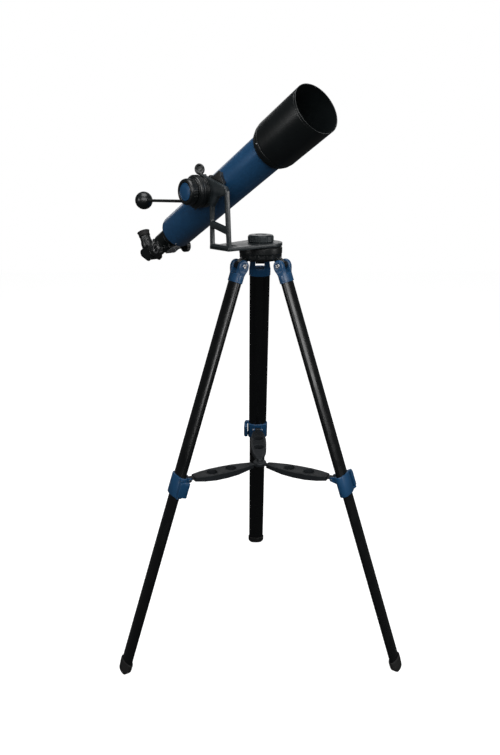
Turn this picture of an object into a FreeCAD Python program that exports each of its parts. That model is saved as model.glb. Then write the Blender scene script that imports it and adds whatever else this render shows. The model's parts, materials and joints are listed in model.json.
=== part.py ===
import FreeCAD, Part
import math
import os
import re
import Sketcher

# Achromatic refracting telescope on a single-arm altitude-azimuth mount and a
# folding aluminium tripod.  Millimetres, +Z up.  The origin is on the floor,
# at the centre of the whole object's footprint.

DIMENSIONS = {
    # tripod
    "tripod_x": 0.0, "tripod_y": -86.674,
    "hinge_radius": 66.48, "hinge_height": 1162.27,
    "leg_lean": 18.94, "leg_length": 1228.8, "leg_joint": 640.0,
    "upper_width": 58.6, "upper_depth": 24.0, "upper_end": 6.7, "tube_wall": 1.5,
    "lower_width": 53.4, "lower_depth": 19.6, "lower_end": 5.2, "lower_top": 558.0,
    "cap_width": 62.0, "cap_depth": 28.5, "cap_drop": 48.0, "cap_socket": 16.0,
    "ear_radius": 15.0, "slot_half": 13.2, "lug_half": 12.8, "lug_radius": 11.5,
    "bolt_radius": 3.0, "bolt_head": 6.0, "bolt_head_thick": 2.6,
    "clamp_width": 65.6, "clamp_depth": 31.0, "clamp_corner": 14.9, "clamp_half": 30.0,
    "lever_x": 11.0, "lever_y": 39.6,
    "foot_width": 58.6, "foot_depth": 27.6, "foot_rise": 33.0, "foot_corner": 12.0,
    "spreader_radius": 240.0, "spreader_height": 567.0, "hub_height": 558.0,
    "hub_radius": 20.0, "hub_pin_radius": 15.0, "arm_hole": 16.0, "arm_collar": 18.4,
    "ear_inner": 9.5, "ear_outer": 14.5,
    # head and mount
    "head_radius": 59.0, "head_foot": 56.5, "head_base": 10.7, "head_top": 48.4,
    "center_bolt": 6.0, "running_gap": 0.3,
    "mount_azimuth": -49.88, "plate_base": 1211.0, "plate_thick": 9.0,
    "arm_outer": -153.0, "arm_thick": 12.0,
    "azimuth_knob_radius": 35.4, "azimuth_knob_height": 19.6,
    "altitude_m": -61.0, "altitude_lateral": -79.3, "altitude_height": 1355.5,
    "arm_hub_radius": 41.0, "axle_radius": 8.0, "knob_radius": 33.0,
    "handle_side": -90.4, "handle_drop": -24.5, "handle_reach": 251.0, "handle_tilt": 2.0,
    "handle_boss": 5.3, "rod_start": 50.6, "rod_radius": 4.0, "rod_grip": 9.0, "ball_radius": 25.0,
    # optical tube
    "tube_elevation": 29.16, "tube_radius": 48.0, "tube_bore": 46.4,
    "tube_front": 211.0, "tube_rear": -252.0,
    "shade_radius": 61.4, "shade_bore": 59.4, "shade_front": 382.0,
    "cell_front": 250.0, "lens_radius": 46.4,
    "focuser_radius": 29.5, "focuser_rear": -345.0,
    "draw_radius": 20.0, "draw_bore": 18.0, "collar_radius": 24.0,
    "pinion_s": -303.0, "pinion_p": -28.0, "pinion_pitch": 5.5, "pinion_teeth": 11.0,
    "eyepiece_s": -423.0, "nose_radius": 15.875, "nose_bore": 15.95,
}
LEGS = {"back": 90.0, "left": 210.0, "right": 330.0}
MODULE_ADDENDUM = 0.8
PRESSURE_SLOPE = math.tan(math.radians(20.0))

X_AXIS = FreeCAD.Vector(1, 0, 0)
Y_AXIS = FreeCAD.Vector(0, 1, 0)
Z_AXIS = FreeCAD.Vector(0, 0, 1)

doc = FreeCAD.newDocument("telescope")
sheet = doc.addObject("Spreadsheet::Sheet", "Dims")
for row, (alias, value) in enumerate(DIMENSIONS.items(), start=1):
    sheet.set(f"A{row}", alias)
    sheet.set(f"B{row}", str(value))
    sheet.setAlias(f"B{row}", alias)
doc.recompute()

nodes = []


def dim(alias):
    """Value of one driving dimension, read from the sheet."""
    return float(getattr(sheet, alias))


def formula(text):
    """Point every dimension name in a formula at the sheet."""
    return re.sub(r"\b([a-z]+(?:_[a-z]+)+)\b", r"Dims.\1", str(text))


# ---------------------------------------------------------------- frames

def placed(x, y, z, rotation=None):
    return FreeCAD.Placement(FreeCAD.Vector(x, y, z), rotation or FreeCAD.Rotation())


def turn(axis, degrees):
    return FreeCAD.Rotation(axis, degrees)


def tripod_frame(height=0.0, angle=90.0):
    """On the tripod's vertical axis, with X towards one leg."""
    return placed(dim("tripod_x"), dim("tripod_y"), height, turn(Z_AXIS, angle))


def leg_frame(angle):
    """At a leg's hinge: Z up along the leg, X outwards, Y along the hinge."""
    hinge = placed(dim("hinge_radius"), 0, 0, turn(Y_AXIS, -dim("leg_lean")))
    return tripod_frame(dim("hinge_height"), angle).multiply(hinge)


def spreader_frame(angle):
    """At a spreader arm's outer pin: X outwards along the arm."""
    rise = dim("spreader_height") - dim("hub_height")
    run = dim("spreader_radius") - dim("hub_pin_radius")
    tilt = math.degrees(math.atan2(rise, run))
    pin = placed(dim("spreader_radius"), 0, 0, turn(Y_AXIS, -tilt))
    return tripod_frame(dim("spreader_height"), angle).multiply(pin)


def mount_frame():
    """On the azimuth axis at floor level: X the way the tube points, Y across."""
    return tripod_frame(0.0, dim("mount_azimuth"))


def altitude_frame():
    """Where the altitude axis crosses the tube's axis: Y along the altitude axis."""
    centre = placed(dim("altitude_m"), dim("altitude_lateral"), dim("altitude_height"))
    return mount_frame().multiply(centre)


def tube_frame():
    """As the altitude frame, with X along the tube towards the sky."""
    return altitude_frame().multiply(placed(0, 0, 0, turn(Y_AXIS, -dim("tube_elevation"))))


# ---------------------------------------------------------------- sketch and feature helpers

def new_body(label, placement):
    body = doc.addObject("PartDesign::Body", label)
    body.Label = label
    body.Placement = placement
    nodes.append(body)
    return body


def new_sketch(body, plane, offset=0):
    """Sketch on one of the body's origin planes, moved along that plane's normal."""
    origin_plane = [f for f in body.Origin.OriginFeatures if f.Role == plane][0]
    sketch = body.newObject("Sketcher::SketchObject", body.Name + "_sketch")
    sketch.AttachmentSupport = [(origin_plane, "")]
    sketch.MapMode = "FlatFace"
    sketch.setExpression("AttachmentOffset.Base.z", formula(offset))
    return sketch


def fix_point(sketch, geometry, point, x, y):
    """Tie a point to the sketch's origin by two formulas."""
    where = sketch.getPoint(geometry, point)
    for kind, start, value in (("DistanceX", where.x, x), ("DistanceY", where.y, y)):
        index = sketch.addConstraint(Sketcher.Constraint(kind, -1, 1, geometry, point, start))
        sketch.setExpression(f"Constraints[{index}]", formula(value))


def outline(sketch, points):
    """Closed outline with straight sides through points given as formulas."""
    count = len(points)
    start = []
    for index in range(count):
        angle = 2.0 * math.pi * index / count
        start.append(FreeCAD.Vector(40.0 * math.cos(angle), 40.0 * math.sin(angle), 0))
    first = sketch.GeometryCount
    for index in range(count):
        side = Part.LineSegment(start[index], start[(index + 1) % count])
        sketch.addGeometry(side, False)
    for index in range(count):
        previous = first + (index - 1) % count
        sketch.addConstraint(Sketcher.Constraint("Coincident", previous, 2, first + index, 1))
    for index, (x, y) in enumerate(points):
        fix_point(sketch, first + index, 1, x, y)


def circle(sketch, x, y, radius):
    index = sketch.addGeometry(Part.Circle(FreeCAD.Vector(1, 1, 0), Z_AXIS, 5.0), False)
    fix_point(sketch, index, 3, x, y)
    size = sketch.addConstraint(Sketcher.Constraint("Radius", index, 5.0))
    sketch.setExpression(f"Constraints[{size}]", formula(radius))


def rounded_rectangle(sketch, width, depth, corner, x=0, y=0):
    """Rectangle centred on (x, y) with round corners; width is along the sketch's X."""
    half_w, half_d, radius = 30.0, 18.0, 4.0
    first = sketch.GeometryCount
    quadrants = ((1, 1), (-1, 1), (-1, -1), (1, -1))
    for index, (sx, sy) in enumerate(quadrants):
        centre = FreeCAD.Vector(sx * (half_w - radius), sy * (half_d - radius), 0)
        arc = Part.Circle(centre, Z_AXIS, radius)
        begin = index * math.pi / 2.0
        sketch.addGeometry(Part.ArcOfCircle(arc, begin, begin + math.pi / 2.0), False)
    for index in range(4):
        a = sketch.getPoint(first + index, 2)
        b = sketch.getPoint(first + (index + 1) % 4, 1)
        sketch.addGeometry(Part.LineSegment(a, b), False)
    for index in range(4):
        side = first + 4 + index
        sketch.addConstraint(Sketcher.Constraint("Coincident", first + index, 2, side, 1))
        following = first + (index + 1) % 4
        sketch.addConstraint(Sketcher.Constraint("Coincident", side, 2, following, 1))
    for index, (sx, sy) in enumerate(quadrants):
        arc = first + index
        fix_point(sketch, arc, 3, f"({x}) + {sx} * (({width}) / 2 - ({corner}))",
                  f"({y}) + {sy} * (({depth}) / 2 - ({corner}))")
        size = sketch.addConstraint(Sketcher.Constraint("Radius", arc, radius))
        sketch.setExpression(f"Constraints[{size}]", formula(corner))
        along, across = ("Horizontal", "Vertical") if index % 2 == 0 else ("Vertical", "Horizontal")
        sketch.addConstraint(Sketcher.Constraint(along, arc, 1, arc, 3))
        sketch.addConstraint(Sketcher.Constraint(across, arc, 2, arc, 3))


def oval(sketch, width, depth, end):
    """Four-arc oval: width along the sketch's Y, depth along X, end is its narrow ends' radius."""
    reach = f"(({width}) / 2 - ({end}))"
    rise = f"(({depth}) / 2 - ({end}))"
    back = f"(({reach}) ^ 2 - ({rise}) ^ 2) / (2 * {rise})"
    share = f"(({end}) / ({back} + {rise}))"
    corner_x = f"({back}) * {share}"
    corner_y = f"{reach} * (1 + {share})"
    rough_reach, rough_end, rough_back = 21.0, 6.0, 40.0
    spread = math.atan2(rough_reach, rough_back)
    flat_radius = math.hypot(rough_reach, rough_back) + rough_end
    first = sketch.GeometryCount
    centres = ((-rough_back, 0.0), (0.0, rough_reach), (rough_back, 0.0), (0.0, -rough_reach))
    sweeps = ((-spread, spread), (spread, math.pi - spread),
              (math.pi - spread, math.pi + spread), (math.pi + spread, 2.0 * math.pi - spread))
    for index, ((x, y), (begin, stop)) in enumerate(zip(centres, sweeps)):
        radius = flat_radius if index % 2 == 0 else rough_end
        arc = Part.Circle(FreeCAD.Vector(x, y, 0), Z_AXIS, radius)
        sketch.addGeometry(Part.ArcOfCircle(arc, begin, stop), False)
    for index in range(4):
        following = first + (index + 1) % 4
        sketch.addConstraint(Sketcher.Constraint("Coincident", first + index, 2, following, 1))
    for index, (sx, sy) in enumerate(((1, 1), (-1, 1), (-1, -1), (1, -1))):
        fix_point(sketch, first + index, 2, f"{sx} * ({corner_x})", f"{sy} * ({corner_y})")
    for index in range(4):
        radius = flat_radius if index % 2 == 0 else rough_end
        wanted = f"({depth}) / 2 + {back}" if index % 2 == 0 else end
        size = sketch.addConstraint(Sketcher.Constraint("Radius", first + index, radius))
        sketch.setExpression(f"Constraints[{size}]", formula(wanted))


def pad(body, sketch, length, middle=False, backwards=False):
    feature = body.newObject("PartDesign::Pad", body.Name + "_pad")
    feature.Profile = sketch
    feature.setExpression("Length", formula(length))
    feature.Midplane = middle
    feature.Reversed = backwards
    return feature


def pocket(body, sketch, length=None, middle=False, backwards=False):
    """Cut to a depth, or right through both ways when no depth is given."""
    feature = body.newObject("PartDesign::Pocket", body.Name + "_pocket")
    feature.Profile = sketch
    if length is None:
        feature.Type = "ThroughAll"
        feature.Midplane = True
    else:
        feature.setExpression("Length", formula(length))
        feature.Midplane = middle
    feature.Reversed = backwards
    return feature


def revolve(body, plane, points, axis="H_Axis"):
    """Turned solid; the points are (along, radius) when axis is the sketch's X axis."""
    sketch = new_sketch(body, plane)
    outline(sketch, points)
    feature = body.newObject("PartDesign::Revolution", body.Name + "_turned")
    feature.Profile = sketch
    feature.ReferenceAxis = (sketch, [axis])
    feature.Angle = 360.0
    return feature


def polar(body, originals, axis_role, count):
    """Repeat features evenly about one of the body's own axes."""
    axis = [f for f in body.Origin.OriginFeatures if f.Role == axis_role][0]
    pattern = body.newObject("PartDesign::PolarPattern", body.Name + "_ring")
    pattern.Originals = originals
    pattern.Axis = (axis, [""])
    pattern.Angle = 360.0
    pattern.Occurrences = count
    body.Tip = pattern
    return pattern


def cylinder(name, radius, height, placement):
    """Round bar of the Part workbench: radius and height are formulas."""
    solid = doc.addObject("Part::Cylinder", name)
    solid.setExpression("Radius", formula(radius))
    solid.setExpression("Height", formula(height))
    solid.Placement = placement
    return solid


def along(axis, x, y, z):
    """Placement that stands a Part primitive's own Z along the given axis."""
    return placed(x, y, z, FreeCAD.Rotation(Z_AXIS, axis))


def joined(label, shapes, placement, kind="Part::MultiFuse"):
    result = doc.addObject(kind, label)
    if kind == "Part::Compound":
        result.Links = shapes
    else:
        result.Shapes = shapes
    result.Label = label
    result.Placement = placement
    nodes.append(result)
    return result


# ---------------------------------------------------------------- tripod

def tripod_head():
    body = new_body("tripod_head", tripod_frame(dim("hinge_height")))
    revolve(body, "XZ_Plane", [
        ("center_bolt", "head_base"), ("head_foot - 5", "head_base"),
        ("head_foot", "head_base + 5"), ("head_radius - 1", "head_base + 20"),
        ("head_radius", "head_base + 22"), ("head_radius", "head_top - 5"),
        ("head_radius - 3", "head_top"), ("center_bolt", "head_top")], "V_Axis")
    web = new_sketch(body, "XZ_Plane")
    outline(web, [
        ("head_foot - 20", "head_base + 4"), ("head_radius - 4", "head_base + 12"),
        ("hinge_radius + lug_radius", 2), ("hinge_radius + lug_radius", 0),
        ("hinge_radius - lug_radius", 0), ("hinge_radius - lug_radius - 6", "head_base - 1")])
    web_pad = pad(body, web, "lug_half * 2", middle=True)
    eye = new_sketch(body, "XZ_Plane")
    circle(eye, "hinge_radius", 0, "lug_radius")
    eye_pad = pad(body, eye, "lug_half * 2", middle=True)
    hole = new_sketch(body, "XZ_Plane")
    circle(hole, "hinge_radius", 0, "bolt_radius")
    drilled = pocket(body, hole, "lug_half * 2 + 1", middle=True)
    polar(body, [web_pad, eye_pad, drilled], "Z_Axis", 3)


def azimuth_bolt():
    level = dim("hinge_height") + dim("head_base")
    shank = cylinder("bolt_shank", "center_bolt", "plate_base + 22 - hinge_height - head_base",
                     placed(0, 0, level))
    flange = cylinder("bolt_flange", "center_bolt + 8", 4, placed(0, 0, level - 4.0))
    joined("azimuth_bolt", [shank, flange], tripod_frame())


def leg_cap(side, angle):
    body = new_body("leg_cap_" + side, leg_frame(angle))
    cheek = new_sketch(body, "XZ_Plane")
    outline(cheek, [
        ("-ear_radius", 0), ("ear_radius", 0),
        ("cap_depth / 2", "-cap_drop"), ("-cap_depth / 2", "-cap_drop")])
    pad(body, cheek, "cap_width", middle=True)
    top = new_sketch(body, "XZ_Plane")
    circle(top, 0, 0, "ear_radius")
    pad(body, top, "cap_width", middle=True)
    slot = new_sketch(body, "YZ_Plane")
    outline(slot, [
        ("-slot_half", "-ear_radius - 8"), ("slot_half", "-ear_radius - 8"),
        ("slot_half", "ear_radius + 5"), ("-slot_half", "ear_radius + 5")])
    pocket(body, slot)
    waist = new_sketch(body, "YZ_Plane")
    for way in (-1, 1):
        outline(waist, [
            (f"{way} * cap_width / 2", "-cap_drop + cap_socket"),
            (f"{way} * (cap_width / 2 + 5)", "-cap_drop + cap_socket"),
            (f"{way} * (cap_width / 2 + 5)", "ear_radius + 1"),
            (f"{way} * (cap_width / 2 - 6.5)", "ear_radius + 1")])
    pocket(body, waist)
    socket = new_sketch(body, "XY_Plane", "-cap_drop")
    oval(socket, "upper_width", "upper_depth", "upper_end")
    pocket(body, socket, "cap_socket", backwards=True)
    hole = new_sketch(body, "XZ_Plane")
    circle(hole, 0, 0, "bolt_radius")
    pocket(body, hole)


def hinge_bolts():
    bolts = []
    for side, angle in LEGS.items():
        half = dim("cap_width") / 2.0 - 3.4
        frame = leg_frame(angle)
        length = "cap_width - 6.8"
        shank = cylinder("hinge_shank_" + side, "bolt_radius", length, along(Y_AXIS, 0, -half, 0))
        parts = [shank]
        for end in (-1, 1):
            start = end * half - (dim("bolt_head_thick") if end < 0 else 0.0)
            name = f"hinge_head_{side}_{'a' if end < 0 else 'b'}"
            parts.append(cylinder(name, "bolt_head", "bolt_head_thick", along(Y_AXIS, 0, start, 0)))
        bolt = doc.addObject("Part::MultiFuse", "hinge_bolt_" + side)
        bolt.Shapes = parts
        bolt.Placement = frame
        bolts.append(bolt)
    joined("hinge_bolts", bolts, placed(0, 0, 0), "Part::Compound")


def upper_leg(side, angle):
    body = new_body("upper_leg_" + side, leg_frame(angle))
    section = new_sketch(body, "XY_Plane", "-leg_joint - 5")
    oval(section, "upper_width", "upper_depth", "upper_end")
    oval(section, "upper_width - tube_wall * 2", "upper_depth - tube_wall * 2", "upper_end - tube_wall")
    pad(body, section, "leg_joint + 5 - cap_drop + cap_socket")


def leg_clamp(side, angle):
    body = new_body("leg_clamp_" + side, leg_frame(angle))
    shell = new_sketch(body, "XY_Plane", "-leg_joint - clamp_half")
    rounded_rectangle(shell, "clamp_depth", "clamp_width", "clamp_corner")
    pad(body, shell, "clamp_half * 2")
    lug_x, lug_z = spreader_pin_in_leg()
    lug = new_sketch(body, "XZ_Plane")
    outline(lug, [
        (lug_x - 5.0, lug_z + 5.0), ("-clamp_depth / 2 + 2", lug_z + 9.0),
        ("-clamp_depth / 2 + 2", lug_z - 12.0), (lug_x - 5.0, lug_z - 5.0)])
    pad(body, lug, "ear_outer * 2", middle=True)
    bosses = new_sketch(body, "XY_Plane", "-leg_joint - clamp_half + 2")
    outline(bosses, [
        ("lever_x - 12", "clamp_width / 2 - 4"), ("lever_x + 3", "clamp_width / 2 - 12"),
        ("lever_x + 3.4", "lever_y + 3.2"), ("lever_x - 3.4", "lever_y + 3.2")])
    pad(body, bosses, "clamp_half * 2 - 4")
    lever_gap = new_sketch(body, "YZ_Plane")
    outline(lever_gap, [
        ("clamp_width / 2 + 0.1", "-leg_joint - clamp_half + 7.5"),
        ("lever_y + 12", "-leg_joint - clamp_half + 7.5"),
        ("lever_y + 12", "-leg_joint + clamp_half - 7.5"),
        ("clamp_width / 2 + 0.1", "-leg_joint + clamp_half - 7.5")])
    pocket(body, lever_gap)
    arm_gap = new_sketch(body, "XY_Plane")
    outline(arm_gap, [
        (lug_x - 12.0, "-ear_inner"), ("-clamp_depth / 2", "-ear_inner"),
        ("-clamp_depth / 2", "ear_inner"), (lug_x - 12.0, "ear_inner")])
    pocket(body, arm_gap)
    pin_hole = new_sketch(body, "XZ_Plane")
    circle(pin_hole, lug_x, lug_z, 2.4)
    pocket(body, pin_hole)
    lever_hole = new_sketch(body, "XY_Plane")
    circle(lever_hole, "lever_x", "lever_y", 2.3)
    pocket(body, lever_hole)
    upper = new_sketch(body, "XY_Plane", "-leg_joint + clamp_half")
    oval(upper, "upper_width", "upper_depth", "upper_end")
    pocket(body, upper, "clamp_half + 5")
    lower = new_sketch(body, "XY_Plane", "-leg_joint")
    oval(lower, "lower_width + 0.8", "lower_depth + 0.8", "lower_end + 0.4")
    pocket(body, lower)


def spreader_pin_in_leg():
    """The spreader pin's place in the leg's own X and Z."""
    out = dim("spreader_radius") - dim("hinge_radius")
    down = dim("spreader_height") - dim("hinge_height")
    lean = math.radians(dim("leg_lean"))
    x = out * math.cos(lean) + down * math.sin(lean)
    z = -out * math.sin(lean) + down * math.cos(lean)
    return x, z


def clamp_lever(side, angle):
    body = new_body("clamp_lever_" + side, leg_frame(angle))
    grip = new_sketch(body, "XY_Plane", "-leg_joint - clamp_half + 8")
    outline(grip, [
        ("lever_x + 2.8", "lever_y - 5.3"), ("lever_x + 4.2", "lever_y + 5"), (-8, "lever_y + 6.2"),
        (-14, "lever_y + 5.4"), (-15.5, "lever_y + 1"), (-14, "lever_y - 5.4")])
    pad(body, grip, "clamp_half * 2 - 16")
    barrel = new_sketch(body, "XY_Plane", "-leg_joint - clamp_half + 8")
    circle(barrel, "lever_x", "lever_y", 3.1)
    pad(body, barrel, "clamp_half * 2 - 16")
    pin = new_sketch(body, "XY_Plane", "-leg_joint - clamp_half + 2.5")
    circle(pin, "lever_x", "lever_y", 2.0)
    pad(body, pin, "clamp_half * 2 - 5")


def lower_leg(side, angle):
    body = new_body("lower_leg_" + side, leg_frame(angle))
    section = new_sketch(body, "XY_Plane", "-leg_length + 8")
    oval(section, "lower_width", "lower_depth", "lower_end")
    oval(section, "lower_width - tube_wall * 2", "lower_depth - tube_wall * 2", "lower_end - tube_wall")
    pad(body, section, "leg_length - 8 - lower_top")


def foot(side, angle):
    """Rubber boot whose sole is level with the floor when the leg leans."""
    body = new_body("foot_" + side, leg_frame(angle))
    slope = math.tan(math.radians(dim("leg_lean")))
    shell = new_sketch(body, "XY_Plane", "-leg_length - 6")
    rounded_rectangle(shell, "foot_depth", "foot_width", "foot_corner")
    pad(body, shell, "foot_rise + 6")
    level = -dim("leg_length")
    sole = new_sketch(body, "XZ_Plane")
    outline(sole, [
        (-9.0, level + 9.0 * slope), (-17.0, level + 9.0 * slope + 7.0), (-17.0, level - 14.0),
        (17.0, level - 14.0), (17.0, level - 9.0 * slope + 4.0), (9.0, level - 9.0 * slope)])
    pocket(body, sole)
    toes = new_sketch(body, "YZ_Plane")
    for way in (-1, 1):
        outline(toes, [
            (f"{way} * (foot_width / 2 - 10)", "-leg_length - 4"),
            (f"{way} * (foot_width / 2 - 10)", "-leg_length - 8"),
            (f"{way} * (foot_width / 2 + 2)", "-leg_length - 8"),
            (f"{way} * (foot_width / 2 + 2)", "-leg_length + 11")])
    pocket(body, toes)
    socket = new_sketch(body, "XY_Plane", "-leg_length + foot_rise")
    oval(socket, "lower_width", "lower_depth", "lower_end")
    pocket(body, socket, "foot_rise - 8")


def spreader_hub():
    body = new_body("spreader_hub", tripod_frame(dim("hub_height")))
    revolve(body, "XZ_Plane", [
        (0, -6), ("hub_radius - 2", -6), ("hub_radius", -4), ("hub_radius", 4),
        ("hub_radius - 2", 6), (9, 6), (8.5, 13), (6, 16), (0, 16.5)], "V_Axis")
    slot = new_sketch(body, "XY_Plane")
    outline(slot, [(9, -6.6), (26, -6.6), (26, 6.6), (9, 6.6)])
    slot_cut = pocket(body, slot, 14, middle=True)
    pin = new_sketch(body, "XZ_Plane")
    circle(pin, "hub_pin_radius", 0, 1.8)
    pin_pad = pad(body, pin, 14, middle=True)
    polar(body, [slot_cut, pin_pad], "Z_Axis", 3)


def spreader_arm(side, angle):
    """Boat-shaped arm: a top plate with two round holes and a flange all round."""
    body = new_body("spreader_arm_" + side, spreader_frame(angle))
    reach = math.hypot(dim("spreader_radius") - dim("hub_pin_radius"),
                       dim("spreader_height") - dim("hub_height"))
    half_widths = ((-214.0, 9.5), (-188.0, 16.0), (-154.0, 22.5), (-117.0, 24.8),
                   (-80.0, 24.8), (-45.0, 21.0), (-17.0, 13.5))
    plan = new_sketch(body, "XY_Plane", 5)
    outline(plan, half_widths + tuple((x, -w) for x, w in reversed(half_widths)))
    pad(body, plan, 18, backwards=True)
    belly = new_sketch(body, "XZ_Plane")
    outline(belly, [
        (-217, -6), (-188, -8), (-154, -11), (-112, -12.5), (-75, -12), (-40, -9.5),
        (-14, -7), (-14, -16), (-217, -16)])
    pocket(body, belly)
    wall = 2.4
    hollow = new_sketch(body, "XY_Plane", 2.4)
    inner = tuple((x + (wall if x < -100.0 else -wall), w - wall) for x, w in half_widths)
    outline(hollow, inner + tuple((x, -w) for x, w in reversed(inner)))
    pocket(body, hollow, 20)
    collars = new_sketch(body, "XY_Plane", 2.4)
    for x in (-140.0, -77.0):
        circle(collars, x, 0, "arm_collar")
    pad(body, collars, 13.2, backwards=True)
    holes = new_sketch(body, "XY_Plane")
    for x in (-140.0, -77.0):
        circle(holes, x, 0, "arm_hole")
    pocket(body, holes)
    for x_eye, x_root, half, radius in ((0.0, -20.0, 9.1, 6.0), (-reach, -211.0, 6.0, 4.2)):
        tongue = new_sketch(body, "XY_Plane", -3)
        outline(tongue, [(x_eye, -half), (x_root, -half), (x_root, half), (x_eye, half)])
        pad(body, tongue, 6)
        eye = new_sketch(body, "XZ_Plane")
        circle(eye, x_eye, 0, radius)
        pad(body, eye, half * 2.0, middle=True)
    for x_eye, radius in ((0.0, 2.75), (-reach, 2.3)):
        hole = new_sketch(body, "XZ_Plane")
        circle(hole, x_eye, 0, radius)
        pocket(body, hole, 40, middle=True)


def spreader_pins():
    pins = []
    for side, angle in LEGS.items():
        pin = cylinder("spreader_pin_" + side, 2.4, "ear_outer * 2 + 4", placed(0, 0, 0))
        half = dim("ear_outer") + 2.0
        pin.Placement = spreader_frame(angle).multiply(along(Y_AXIS, 0, -half, 0))
        pins.append(pin)
    joined("spreader_pins", pins, placed(0, 0, 0), "Part::Compound")


# ---------------------------------------------------------------- mount

def azimuth_bracket():
    body = new_body("azimuth_bracket", mount_frame())
    centre = "-arm_outer - arm_thick / 2"
    arm = new_sketch(body, "XZ_Plane", centre)
    outline(arm, [
        (-30, "plate_base"), (49, "plate_base"), (42, "plate_base + 152"), (37, "plate_base + 158"),
        (-50, "altitude_height + 39.3"), ("altitude_m", "altitude_height"), (-33, "altitude_height - 30")])
    pad(body, arm, "arm_thick", middle=True)
    disc = new_sketch(body, "XZ_Plane", centre)
    circle(disc, "altitude_m", "altitude_height", "arm_hub_radius")
    pad(body, disc, "arm_thick", middle=True)
    plate = new_sketch(body, "XY_Plane", "plate_base")
    outline(plate, [
        (-30, "arm_outer"), (49, "arm_outer"), (58, -14), (58, 0), (-58, 0), (-58, -14)])
    pad(body, plate, "plate_thick")
    end = new_sketch(body, "XY_Plane", "plate_base")
    circle(end, 0, 0, "head_radius")
    pad(body, end, "plate_thick")
    toe = new_sketch(body, "XY_Plane", "plate_base")
    outline(toe, [
        (-30, "arm_outer"), (49, "arm_outer"), (49, "arm_outer + 18"), (-30, "arm_outer + 18")])
    pad(body, toe, "plate_thick + 3.5")
    windows = new_sketch(body, "XZ_Plane", centre)
    outline(windows, [
        (-20, "plate_base + 12.5"), (39, "plate_base + 12.5"), (37, "plate_base + 42"),
        (-20.6, "plate_base + 55")])
    outline(windows, [
        (-21, "plate_base + 72"), (36, "plate_base + 60"), (32.5, "plate_base + 138"),
        (4, "plate_base + 132"), (-17, "plate_base + 108")])
    pocket(body, windows, "arm_thick + 2", middle=True)
    slot = new_sketch(body, "XY_Plane", "plate_base")
    rounded_rectangle(slot, 44, 16, 7.9, 10, -112)
    pocket(body, slot)
    axle_hole = new_sketch(body, "XZ_Plane")
    circle(axle_hole, "altitude_m", "altitude_height", "axle_radius + 0.05")
    pocket(body, axle_hole)
    bolt_hole = new_sketch(body, "XY_Plane", "plate_base")
    circle(bolt_hole, 0, 0, "center_bolt + 0.05")
    pocket(body, bolt_hole)


def fluted(body, plane, orbit, flute, count, axis_role, position=0):
    """Finger grooves round a knob's rim."""
    groove = new_sketch(body, plane)
    circle(groove, position, orbit, flute)
    cut = pocket(body, groove)
    polar(body, [cut], axis_role, count)


def azimuth_knob():
    body = new_body("azimuth_knob", tripod_frame())
    base = "plate_base + plate_thick + running_gap"
    top = base + " + azimuth_knob_height"
    revolve(body, "XZ_Plane", [
        ("center_bolt + 0.05", base), ("azimuth_knob_radius - 2", base),
        ("azimuth_knob_radius", base + " + 2.5"), ("azimuth_knob_radius", top + " - 4.5"),
        ("azimuth_knob_radius - 2.5", top + " - 1"), ("azimuth_knob_radius - 5", top),
        (17, top), (15, top + " - 1.2"), (0, top + " - 1.2"), (0, base + " + 14"),
        ("center_bolt + 0.05", base + " + 14")], "V_Axis")
    fluted(body, "XY_Plane", "azimuth_knob_radius + 1.6", 2.4, 24, "Z_Axis")


def altitude_housing():
    body = new_body("altitude_housing", altitude_frame())
    inner = "(arm_outer - altitude_lateral)"
    revolve(body, "YZ_Plane", [
        (inner, "axle_radius + 0.05"), (inner, "arm_hub_radius - 1"),
        (inner + " - 3.5", "arm_hub_radius - 1"), (inner + " - 4.5", "arm_hub_radius - 4"),
        (inner + " - 7", "arm_hub_radius - 4"), (inner + " - 8", "arm_hub_radius - 1.5"),
        (inner + " - 11", "arm_hub_radius - 1.5"), (inner + " - 11", "axle_radius + 0.05")])


def altitude_hub():
    body = new_body("altitude_hub", altitude_frame())
    face = "(arm_outer - altitude_lateral - 11.3)"
    revolve(body, "YZ_Plane", [
        (face, "axle_radius"), (face, "arm_hub_radius - 1"),
        (face + " - 2", "arm_hub_radius + 0.6"), (face + " - 12", "arm_hub_radius + 0.6"),
        (face + " - 13.5", "arm_hub_radius - 2.5"), (face + " - 16", "arm_hub_radius - 3.5"),
        (face + " - 17", "arm_hub_radius - 7"), (face + " - 19.2", "arm_hub_radius - 7"),
        (face + " - 19.2", "axle_radius")])
    boss = new_sketch(body, "YZ_Plane", -28)
    circle(boss, "handle_side", "handle_drop", "handle_boss")
    pad(body, boss, 22, backwards=True)


def altitude_axle():
    start = dim("arm_outer") + dim("arm_thick") - dim("altitude_lateral") + 0.4
    core = cylinder("axle_core", "axle_radius", 43.1, along(-Y_AXIS, 0, start, 0))
    thread = cylinder("axle_thread", "axle_radius - 2", 59, along(-Y_AXIS, 0, start, 0))
    joined("altitude_axle", [core, thread], altitude_frame())


def altitude_knob():
    body = new_body("altitude_knob", altitude_frame())
    revolve(body, "YZ_Plane", [
        (-104.8, "axle_radius - 1.95"), (-104.8, "knob_radius - 2.5"), (-107, "knob_radius"),
        (-121, "knob_radius"), (-125.5, "knob_radius - 1.5"), (-126.8, "knob_radius - 4.5"),
        (-126.8, 24), (-124.6, 22.8), (-123.8, 22.8), (-123.8, 0), (-121.2, 0),
        (-121.2, "axle_radius - 1.95")])
    groove = new_sketch(body, "XZ_Plane")
    circle(groove, 0, "knob_radius + 1.7", 2.4)
    cut = pocket(body, groove)
    polar(body, [cut], "Y_Axis", 24)


def altitude_knob_cap():
    body = new_body("altitude_knob_cap", altitude_frame())
    revolve(body, "YZ_Plane", [
        (-123.8, 0), (-123.8, 22.6), (-125.6, 22.6), (-126.8, 20), (-127.3, 12), (-127.4, 0)])


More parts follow.
